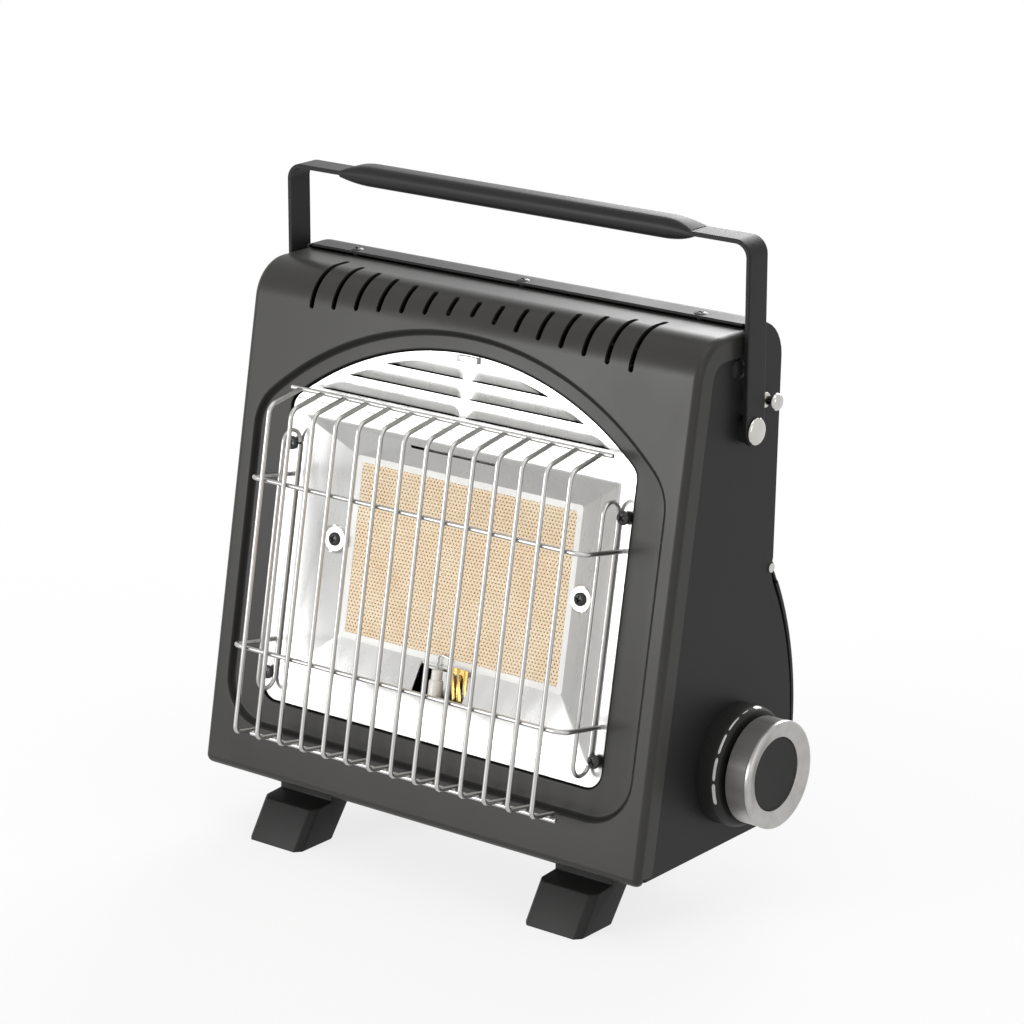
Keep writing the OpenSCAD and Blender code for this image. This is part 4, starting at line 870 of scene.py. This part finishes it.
def guard_rods():
    """The rods along the top and bottom, each with chamfered ends."""
    mesh = Mesh()
    for half, n, s in ROD_PLACES:
        ends = [(-half, 0.7), (-half + 0.25, 1.0), (-half + 0.7, 1.0)]
        ends += [(-x, k) for x, k in reversed(ends)]
        mesh.tube([panel(x, n, s) for x, _ in ends], [WIRE_R*k for _, k in ends], 14, (0, 0, 1))
    guard_piece(mesh, "guard_rods")


def guard_clips():
    """A long loop of wire on each side, standing out of the reflector."""
    mesh = Mesh()
    n = CLIP_N - CLIP_BOW
    loop = arc(n, CLIP_S1, CLIP_BOW, 0, 180, 14) + arc(n, CLIP_S0, CLIP_BOW, 180, 360, 14)
    for x in (-CLIP_X, CLIP_X):
        mesh.tube([panel(x, n, s) for n, s in loop + [(CLIP_N, CLIP_S1 - 1)]], CLIP_R, 10)
    guard_piece(mesh, "guard_clips")


guard_uprights()
guard_cross_wires()
guard_rods()
guard_clips()


# Screws with a cross recess


def screw_head(mesh, base, along, r, h, turn):
    """A domed head on a plane, with a cross recess."""
    first = along.orthogonal().normalized()
    first.rotate(Matrix.Rotation(radians(turn), 3, along))
    other = along.cross(first)
    w, reach, low = r*0.13, r*0.52, h*0.12
    cross = [(reach, -w), (reach, w), (w, w)]
    for _ in range(3):
        cross += [(-y, x) for x, y in cross[-3:]]
    rings = [(circle(0, 0, r*k, 36), True) for k in (0.6, 0.75, 0.86, 0.93, 0.97)]
    spots, faces = flat_faces(circle(0, 0, r, 36), [cross], rings)
    tops = [h*(0.25 + 0.75*sqrt(max(0.0, 1 - min(1.0, q.length/r)**2.6))) for q in spots]
    flat = [base + (first*q.x + other*q.y)*MM for q in spots]
    lower, walls = shell(faces, len(spots))
    mesh.add([p + along*up*MM for p, up in zip(flat, tops)] + [p + along*low*MM for p in flat],
             faces + lower + walls)
    mesh.lathe(base, along, rod(r, low + 0.15), 36)


def screws(node, out, r, h, shank, places):
    """Screws of one kind, each on a place with its own turn."""
    mesh = Mesh()
    for place, turn in places:
        screw_head(mesh, place, out, r, h, turn)
        mesh.lathe(place, -out, rod(*shank), 16)
    mesh.piece(node[:-1] + "_heads", "dark_screw", [node])


outwards = (panel(0, 0, 0) - panel(0, 1, 0)).normalized()
screws("reflector_screws", outwards, 3.2, 1.8, (1.55, 9),
       [(panel(k*SCREW_X, PAN_N - 2.2, s), 20 + s) for k in (-1, 1) for s in SCREW_S])
screws("burner_screws", outwards, 3.2, 1.7, (1.45, 9), [(panel(k*PAD_X, PAD_N, PAD_S), 35) for k in (-1, 1)])
screws("top_screws", Vector((0, 0, 1)), 3.6, 1.7, (1.55, 7),
       [(body(x, SEAM_Y + 4, TOP_Z), x + 10) for x in (-100, 0, 100)])


# Ignition: the electrode, its wire, the probe and its slotted shield

ELECTRODE_X, ELECTRODE_N = -4.2, 12.4
HOOK = ((0, 70), (0, 78.4), (6.4, 77.4), (7, 75.2))
PROBE_X, PROBE_N, PROBE_R = 8.0, 14.1, 1.6
SHIELD_S, SHIELD_T = 54.2, 0.6


def electrode():
    up = panel(0, 0, 1) - panel(0, 0, 0)
    glaze = [(0, 0), (3.1, 0), (3.4, 0.3), (3.4, 19.4), (3.2, 19.8), (2.6, 20.2), (2.6, 24.4), (2.2, 25),
             (0, 25)]
    insulator = Mesh().lathe(panel(ELECTRODE_X, ELECTRODE_N, 46), up, glaze)
    insulator.piece("electrode_insulator", "white_ceramic", ["electrode_ceramic"], 55)
    path = rounded([panel(ELECTRODE_X + x, ELECTRODE_N, s) for x, s in HOOK], 1.8, 8)
    Mesh().tube(path, 0.5, 10, (0, 1, 0)).piece("electrode_hook", "rivet_steel", ["electrode_wire"], 60)
    probe = [(0, 0), (PROBE_R, 0), (PROBE_R, 21.6), (1.3, 22.5), (0.7, 23), (0, 23)]
    tube = Mesh().lathe(panel(PROBE_X, PROBE_N, 48), up, probe, 24)
    tube.piece("probe_tube", "brass", ["thermocouple"], 55)


def probe_shield():
    """A plate before the probe, with three slanting slots and a slight ripple."""
    plate = [(PROBE_X + a, SHIELD_S + b) for a, b in mirrored([(5.6, 0), (6, 0.4), (6, 19.4), (5.6, 19.8)])]
    slots = [[(PROBE_X + 1.4 + k*3.6 + a, s) for a, s in ((-1, 59), (1, 59), (-1.8, 71.5), (-3.8, 71.5))]
             for k in (-1, 0, 1)]

    def place(u, v, under):
        ripple = 0.2*abs(sin((u - PROBE_X)*0.9))
        return panel(u, PROBE_N - PROBE_R - 0.8 - ripple + under, v)

    grid = upright_lines([PROBE_X + x for x in range(-5, 6)], SHIELD_S + 0.2, SHIELD_S + 19.6)
    sheet_piece("probe_shield", flat_faces(plate, slots, grid), place, SHIELD_T, "brass",
                ["thermocouple_shield"])


electrode()
probe_shield()


# Handle: the bail, its rolled grip, rivets, spacers and stop studs

PIVOT_Y, PIVOT_Z = 79.0, 194.0
BAIL_OUT, BAIL_T, BAIL_W, BAIL_H, BAIL_R = 133.5, 2.0, 14.0, 87.0, 8.0
BAIL_FLAT, BAIL_TURN = BAIL_OUT - BAIL_R, BAIL_R*QUARTER
BAIL_ROUND = 0.7
RIVET_HOLE = 3.05
GRIP_L, GRIP_W, GRIP_H = 101.0, 14.6, 9.7
GRIP_END, GRIP_THIN, GRIP_R = 16.0, 3.4, 4.4
STUD_Y, STUD_Z = 13.7, 10.7


def bail_place(u, v, under):
    """The strip laid flat: u across it, v along it from the middle of the grip towards one end."""
    side = copysign(1.0, v)
    v = abs(v)
    turn = max(0.0, min(QUARTER, (v - BAIL_FLAT)/BAIL_R))
    x = min(v, BAIL_FLAT) + BAIL_R*sin(turn)
    z = BAIL_H - BAIL_R*(1 - cos(turn)) - max(0.0, v - BAIL_FLAT - BAIL_TURN)
    if under < 0.1:
        under += 0.4*max(0.0, 1 - (BAIL_W/2 - abs(u))/BAIL_ROUND)**2
    return body(side*(x - under*sin(turn)), PIVOT_Y + u, PIVOT_Z + z - under*cos(turn))


def handle_bail():
    pivot_v = BAIL_FLAT + BAIL_TURN + BAIL_H - BAIL_R
    half = BAIL_W/2
    outline = arc(0, -pivot_v, half, 180, 360, 20) + arc(0, pivot_v, half, 0, 180, 20)
    holes = [circle(0, k*pivot_v, RIVET_HOLE, 24) for k in (-1, 1)]
    spots = [k*(half - g) for k in (-1, 1) for g in (0.12, 0.35, BAIL_ROUND)]
    lines = upright_lines(spots, -pivot_v, pivot_v)
    for k in (-1, 1):
        lines += level_lines(half, k*BAIL_FLAT, k*(BAIL_FLAT + BAIL_TURN), 12)
    sheet_piece("handle_bail_strip", flat_faces(outline, holes, lines), bail_place, BAIL_T, "black_paint",
                ["handle_bail"], "handle")


def handle_grip():
    """A rolled sleeve round the bail, which flattens towards its ends."""
    steps = [0.0, 0.6, 1.6, 3.0, 5.0, 7.5, 10.0, 13.0, GRIP_END]
    rings = []
    for x in [t - GRIP_L for t in steps] + [GRIP_L - t for t in reversed(steps)]:
        swell = 1 - (1 - min(1.0, (GRIP_L - abs(x))/GRIP_END))**2.2
        h = GRIP_THIN + (GRIP_H - GRIP_THIN)*swell
        w = GRIP_W - 0.5*(1 - swell)
        r = min(GRIP_R, h/2 - 0.2)
        z = PIVOT_Z + BAIL_H - 1.2 - 0.3*(1 - swell)
        rings.append([body(x, PIVOT_Y + p, z + q) for p, q in round_box(w/2, -h/2, h/2, r, 7)])
    Mesh().skin(rings).piece("handle_grip_roll", "black_paint", ["handle_grip"], 60, "handle")


def handle_pins():
    """On each side a rivet with its shank and inner head, a spacer ring and a stop stud."""
    head = [(0, 0), (6.1, 0), (6.3, 0.25), (6.1, 0.75), (5.3, 1.35), (4.1, 1.8), (2.4, 2.1), (0, 2.2)]
    ring = [(3.1, 0), (6, 0), (6, 3.2), (5.8, 3.4), (3.1, 3.4)]
    stud = [(0, -3.4), (4, -3.4), (4, -1.3), (2.1, -1.3), (2.1, 0), (3.4, 0), (3.6, 0.2), (3.6, 1.4),
            (3.4, 1.6), (2.1, 1.6), (2.1, 6.7), (3.8, 6.7), (4, 6.95), (3.85, 7.7), (3.2, 8.6), (2.2, 9.05),
            (0, 9.2)]
    rivets, spacers, studs = Mesh(), Mesh(), Mesh()
    for k in (-1, 1):
        out = (k, 0, 0)
        for x, profile, steps in ((BAIL_OUT + 0.3, head, 56), (SIDE - 2.8, rod(3, 8.5), 32),
                                  (SIDE - 4.4, rod(5, 3.1), 32)):
            rivets.lathe(body(k*x, PIVOT_Y, PIVOT_Z), out, profile, steps)
        spacers.lathe(body(k*SIDE, PIVOT_Y, PIVOT_Z), out, ring)
        studs.lathe(body(k*SIDE, PIVOT_Y + STUD_Y, PIVOT_Z + STUD_Z), out, stud, 40)
    rivets.piece("handle_rivet_domes", "rivet_steel", ["handle_rivets"], 45)
    spacers.piece("handle_spacer_rings", "black_plastic", ["handle_spacers"])
    studs.piece("stop_stud_heads", "rivet_steel", ["stop_studs"], 45)


handle_bail()
handle_grip()
handle_pins()


# Control knob, its dark insert, and the bezel with a growing row of marks

AXIS_Y, AXIS_Z = 73.3, 38.8
RING_X = 141.3
MARKS = ((-19, -6, 1.0), (3, 12, 0.30), (18, 36, 0.38), (41, 61, 0.50), (65, 87, 0.62), (90, 112, 0.74))
MARK_SPOT = Vector((27.42, 9.45))
MARK_SLOPE = Vector((0.87, 0.49)).normalized()
MARK_RISE = 0.16


def control_knob():
    ring = [(17.1, 0), (23.9, 0), (24.55, 0.3), (24.7, 0.9), (24.7, 10.1), (24.8, 10.4), (25.0, 10.8),
            (25.0, 11.9), (24.8, 12.5), (24.35, 12.95), (23.8, 13.15), (23.3, 13.2), (22.9, 13.05),
            (17.3, 11.05), (17.1, 10.85), (17.1, 0)]
    face = [(0, 1), (17.05, 1), (17.05, 10.1), (16.7, 10.4), (15.8, 10.4), (0, 10.25)]
    place = body(RING_X, AXIS_Y, AXIS_Z)
    mesh = Mesh().lathe(place, (1, 0, 0), ring, 128)
    mesh.piece("knob_ring_turned", "knob_silver", ["knob_ring"], 22, "knob")
    mesh = Mesh().lathe(place, (1, 0, 0), face, 96)
    mesh.piece("knob_insert_disc", "black_plastic", ["knob_insert"], 30, "knob")


def dial_bezel():
    cup = [(4.6, 0), (28, 0), (28, 8.0), (27.85, 8.6), (26.9, 10.3), (26.3, 10.9), (25.6, 11.2), (4.6, 11.2),
           (4.6, 0)]
    mesh = Mesh().lathe(body(SIDE, AXIS_Y, AXIS_Z), (1, 0, 0), cup, 128)
    mesh.piece("dial_bezel_cup", "black_plastic", ["dial_bezel"], 18)


def dial_marks():
    """Raised silver marks on the bezel's front edge: a thick one at off, then dashes that grow to full."""
    mesh = Mesh()
    for a0, a1, half in MARKS:
        rings = []
        steps = max(4, int((a1 - a0)/2))
        for i, a in enumerate(ladder(a0, a1 - a0, steps)):
            turn = radians(a)
            k = half*min(1.0, 0.4 + min(i, steps - i)*0.6)
            section = [(k, -0.15), (k, 0.1), (k*0.7, MARK_RISE)]
            ring = []
            for across, up in [(-k, -0.15)] + section + mirrored(section)[3:5]:
                r = MARK_SPOT.x - MARK_SLOPE.y*across + MARK_SLOPE.x*up
                h = MARK_SPOT.y + MARK_SLOPE.x*across + MARK_SLOPE.y*up
                ring.append(body(SIDE + h, AXIS_Y - r*sin(turn), AXIS_Z + r*cos(turn)))
            rings.append(ring)
        mesh.skin(rings)
    mesh.piece("dial_marks", "knob_silver")


control_knob()
dial_bezel()
dial_marks()


# Feet: slanted blocks under the body, with chamfered outer corners

FOOT_W, FOOT_CHAMFER = 32.7, 2.852
TOE_Y, HEEL_Y = -3.2, 113.4
TOE = [(TOE_Y, -FOOT_H), (21.6, -FOOT_H), (45, 0), (22, 0), (22, -11.8), (8.6, -12.7)]
HEEL = [(TOE_Y + HEEL_Y - y, z or SHEET) for y, z in TOE]


def corner_cut(piece, spots):
    """Chamfers the upright edges of a foot that stand on the given spots."""
    with editing(piece.data) as bm:
        picked = []
        for edge in bm.edges:
            a, b = (v.co for v in edge.verts)
            if abs(a.z - b.z) < 0.01 or abs(a.x - b.x) > 1e-5 or min(a.z, b.z) > MM:
                continue
            if any(abs(a.x - p.x) < 1e-4 and min(abs(a.y - p.y), abs(b.y - p.y)) < 1e-4 for p in spots):
                picked.append(edge)
        bmesh.ops.bevel(bm, geom=picked, offset=FOOT_CHAMFER*MM, segments=1, profile=0.5, affect="EDGES")


def feet():
    for name, x0, end, outline in (("front", 66.8, TOE_Y, TOE), ("rear", 44.0, HEEL_Y, HEEL)):
        for side, k in (("left", -1), ("right", 1)):
            node = name + "_foot_" + side
            mesh = Mesh().prism(outline, x0, x0 + FOOT_W, lambda y, x, z: body(k*x, y, z))
            piece = mesh.piece(node + "_block", "black_plastic", [node])
            corner_cut(piece, [body(k*x, end, 0) for x in (x0, x0 + FOOT_W)])
            bevelled(piece, 0.7, 20)


feet()


# Back of the body: the vented rear panel and the curved cartridge door

RIM_R = 1.6
RIM_LEG = RIM_R*0.967
REAR_HALF, REAR_FOLD, REAR_SIDE = 126.6, 2.0, 7.0
REAR_LOW = (103.2, 128.4)
REAR_TILT = atan2(3.2, 94.2)
REAR_RIM = 8.0
REAR_TOP = TOP_BEND*0.9
REAR_LEGS = [(REAR_RIM - RIM_LEG, 0), (RIM_R*(QUARTER - REAR_TILT), RIM_R), (94.25 - RIM_LEG, 0),
             (REAR_TILT*30, 30.0), (REAR_TOP*QUARTER, REAR_TOP), (9.3, 0)]
VENTS, VENT_Z, VENT_PITCH = 7, 165, 8
VENT_X, VENT_HALF, VENT_LOW, VENT_TOP = 52, 28, 1.5, 2.6
VENT_HOOD, VENT_OUT = 2.9, -2.7
DOOR_C = (-25.0, 50.0)
DOOR_R, DOOR_RIM = 148.0, 7.0
DOOR_A0 = asin((8.0 - DOOR_C[1])/DOOR_R)
DOOR_A1, DOOR_TONGUE = radians(26.5), radians(3.1)
DOOR_PIN = (101.2, 124.2)
DOOR_FOLD, DOOR_SIDE = 1.5, 1.3
DOOR_LEGS = [(DOOR_RIM - RIM_R, 0), (RIM_R*QUARTER, RIM_R), (DOOR_R, DOOR_R)]
PULL_UP, PULL_HALF, PULL_DEEP = 17.0, 16.0, 2.4


def bent_sheet(u, v, depth, under, start, heading, legs, flat, r):
    """A point of a sheet that is bent along v and folded at its sides; u runs to the left."""
    x, n, turn = side_fold(u, flat, r)
    y, z, way = follow(start, heading, legs, v)
    n += depth + under*cos(turn)
    return body(under*sin(turn) - x, y - n*sin(way), z + n*cos(way))


def folds(flat, fold, v0, v1):
    """Lines along both side folds of a sheet."""
    return upright_lines([k*u for k in (-1, 1) for u in ladder(flat, fold, 5)], v0, v1)


REAR_ENDS = leg_ends(REAR_LEGS)
REAR_FLAT = REAR_HALF - REAR_FOLD
VENT_ROWS = [REAR_ENDS[2] + (VENT_Z + VENT_PITCH*i - REAR_LOW[1] - RIM_R)/cos(REAR_TILT)
             for i in range(VENTS)]


def rear_place(u, v, depth, under):
    start = (REAR_LOW[0] - REAR_RIM, REAR_LOW[1])
    return bent_sheet(u, v, depth, under, start, 0.0, REAR_LEGS, REAR_FLAT, REAR_FOLD)


def rear_panel():
    ends, flat = REAR_ENDS, REAR_FLAT
    fold = REAR_FOLD*QUARTER
    wide = flat + fold + REAR_SIDE
    outline = mirrored([(flat - 3, 0), (flat - 1, 1.5), (flat - 0.5, ends[2] + 0.4),
                        (wide - 1, ends[2] + 0.4), (wide, ends[2] + 1.4), (wide, ends[6] - REAR_RIM),
                        (flat, ends[6])])
    lines = folds(flat, fold, ends[2], ends[6])
    lines += level_lines(wide, ends[1], ends[2], 5) + level_lines(wide, ends[3], ends[5], 14)
    holes = [box_outline(middle - VENT_HALF, middle + VENT_HALF, v - VENT_LOW, v + VENT_TOP)
             for middle in (-VENT_X, VENT_X) for v in VENT_ROWS]
    sheet_piece("rear_panel_sheet", flat_faces(outline, holes, lines),
                lambda u, v, under: rear_place(u, v, 0, under), SHEET, "black_paint", ["rear_panel"])


def rear_louvres():
    mesh = Mesh()
    for middle in (-VENT_X, VENT_X):
        for v in VENT_ROWS:
            hood(mesh, lambda x, d, s: rear_place(x, s, d, 0),
                 lambda s: (middle - VENT_HALF, middle + VENT_HALF), v + VENT_TOP, v - VENT_HOOD,
                 VENT_OUT, SHEET*HOOD_THIN, (30, 8), 6.0)
    mesh.piece("rear_louvres", "black_paint", (), 50)


def cartridge_door():
    """The door's curved sheet, with a shallow finger recess pressed in near its lower edge."""
    ends = leg_ends(DOOR_LEGS)
    flat = SIDE - DOOR_FOLD
    fold = DOOR_FOLD*QUARTER
    wide = flat + fold + DOOR_SIDE
    reach = DOOR_R - DOOR_RIM
    start = (DOOR_C[0] + reach*cos(DOOR_A0), DOOR_C[1] + reach*sin(DOOR_A0))
    first = DOOR_A0 + RIM_R/DOOR_R
    rim, last = (ends[2] + (a - first)*DOOR_R for a in (DOOR_A1, DOOR_A1 + DOOR_TONGUE))
    pull = ends[2] + PULL_UP
    right = [(flat - 3, 0), (flat - 1, 1.5), (flat - 0.5, ends[1])]
    right += [(u, ends[1]) for u in ladder(flat, fold, 5)[1:]]
    right += [(flat + fold, ends[2]), (wide - 0.8, ends[2] + 0.3), (wide, ends[2] + 1.2), (wide, rim),
              (flat + 0.2, rim), (flat + 0.2, last)]
    lines = folds(flat, fold, ends[1], rim)
    lines += level_lines(wide, ends[1], ends[2], 5) + level_lines(wide, ends[2], last, 30)[1:-1]
    lines += [(round_box(24 + g, pull - 8 - g, pull + 8 + g, 7.9 + g, 6), True) for g in range(-3, 4)]

    def place(u, v, under):
        near = hypot(max(0.0, abs(u) - PULL_HALF), v - pull)
        depth = PULL_DEEP*ease((11 - near)/6)
        return bent_sheet(u, v, depth, under, start, DOOR_A0, DOOR_LEGS, flat, DOOR_FOLD)

    sheet_piece("cartridge_door_skin", flat_faces(mirrored(right), [], lines), place, SHEET, "black_paint",
                ["cartridge_door"], "door")


def door_knuckle():
    """The rolled tube along the door's top edge, which turns on the pins."""
    half = REAR_HALF - 0.3
    tube = [(1.3, 0), (2.2, 0), (2.4, 0.2), (2.4, 2*half - 0.2), (2.2, 2*half), (1.3, 2*half), (1.3, 0)]
    mesh = Mesh().lathe(body(-half, *DOOR_PIN), (1, 0, 0), tube, 28)
    mesh.piece("door_knuckle", "black_paint", (), 30, "door")


rear_panel()
rear_louvres()
cartridge_door()
door_knuckle()


# Stage: a plain pale floor, a white surround and soft lamps

WHITE, PALE = (1, 1, 1, 1), (0.9, 0.9, 0.9, 1)
WORLD_LIGHT = 0.5
FLOOR_GLOW, FLOOR_NEAR, FLOOR_FAR, FLOOR_SIZE = 0.8, 0.25, 0.7, 30.0
LOOK_AT = (0, 0, 0.13)


def empty_tree(owner):
    owner.use_nodes = True
    owner.node_tree.nodes.clear()
    return owner.node_tree


def background_rays(tree):
    """1 for the rays that see the background straight, by reflection or through glass."""
    path = add_node(tree, "LightPath").outputs
    last = path["Is Camera Ray"]
    for name in ("Is Glossy Ray", "Is Transmission Ray"):
        last = add_node(tree, "Math", {0: last, 1: path[name]}, operation="MAXIMUM").outputs["Value"]
    return last


def mixed(tree, share, first, second, output):
    """Sends one shader or the other, or a mix of both, to the output."""
    mix = add_node(tree, "MixShader", {"Fac": share, 1: first.outputs[0], 2: second.outputs[0]})
    add_node(tree, output, {"Surface": mix.outputs["Shader"]})


def make_world():
    world = bpy.data.worlds.new("world")
    bpy.context.scene.world = world
    tree = empty_tree(world)
    lit, seen = (add_node(tree, "Background", {"Color": WHITE, "Strength": k}) for k in (WORLD_LIGHT, 1.0))
    mixed(tree, background_rays(tree), lit, seen, "OutputWorld")


def floor_material():
    """Pale paint that glows white, for the rays that see it straight, away from the object."""
    mat = bpy.data.materials.new("floor")
    tree = empty_tree(mat)
    place = add_node(tree, "TexCoord").outputs["Object"]
    reach = add_node(tree, "VectorMath", {0: place}, operation="LENGTH").outputs["Value"]
    fade = add_node(tree, "MapRange", {"Value": reach, "From Min": FLOOR_NEAR, "From Max": FLOOR_FAR,
                                       "To Min": FLOOR_GLOW}).outputs["Result"]
    share = add_node(tree, "Math", {0: background_rays(tree), 1: fade}, operation="MULTIPLY").outputs["Value"]
    paint = add_node(tree, "BsdfDiffuse", {"Color": PALE})
    mixed(tree, share, paint, add_node(tree, "Emission", {"Color": WHITE}), "OutputMaterial")
    return mat


def make_floor():
    mesh = bpy.data.meshes.new("floor")
    r = FLOOR_SIZE/2
    mesh.from_pydata([(x, y, 0) for x, y in box_outline(-r, r, -r, r)], [], [(0, 1, 2, 3)])
    mesh.materials.append(floor_material())
    link(bpy.data.objects.new("floor", mesh))


def lamp(name, place, size, power):
    """A soft lamp that points at the middle of the object."""
    data = bpy.data.lights.new(name, "AREA")
    data.shape = "RECTANGLE"
    data.size, data.size_y = size
    data.energy = power
    light = link(bpy.data.objects.new(name, data))
    light.location = place
    light.rotation_euler = (Vector(LOOK_AT) - Vector(place)).to_track_quat("-Z", "Y").to_euler()


make_world()
make_floor()
lamp("key", (-0.74, -1.5, 0.43), (0.75, 0.64), 15)
lamp("top", (0.3, -0.2, 1.8), (1.2, 1.2), 5)
lamp("side", (1.7, -0.7, 0.8), (0.8, 1.0), 3)
lamp("rear", (-0.5, 1.7, 1.0), (1.2, 1.0), 25)

bpy.context.scene.view_settings.view_transform = "Standard"
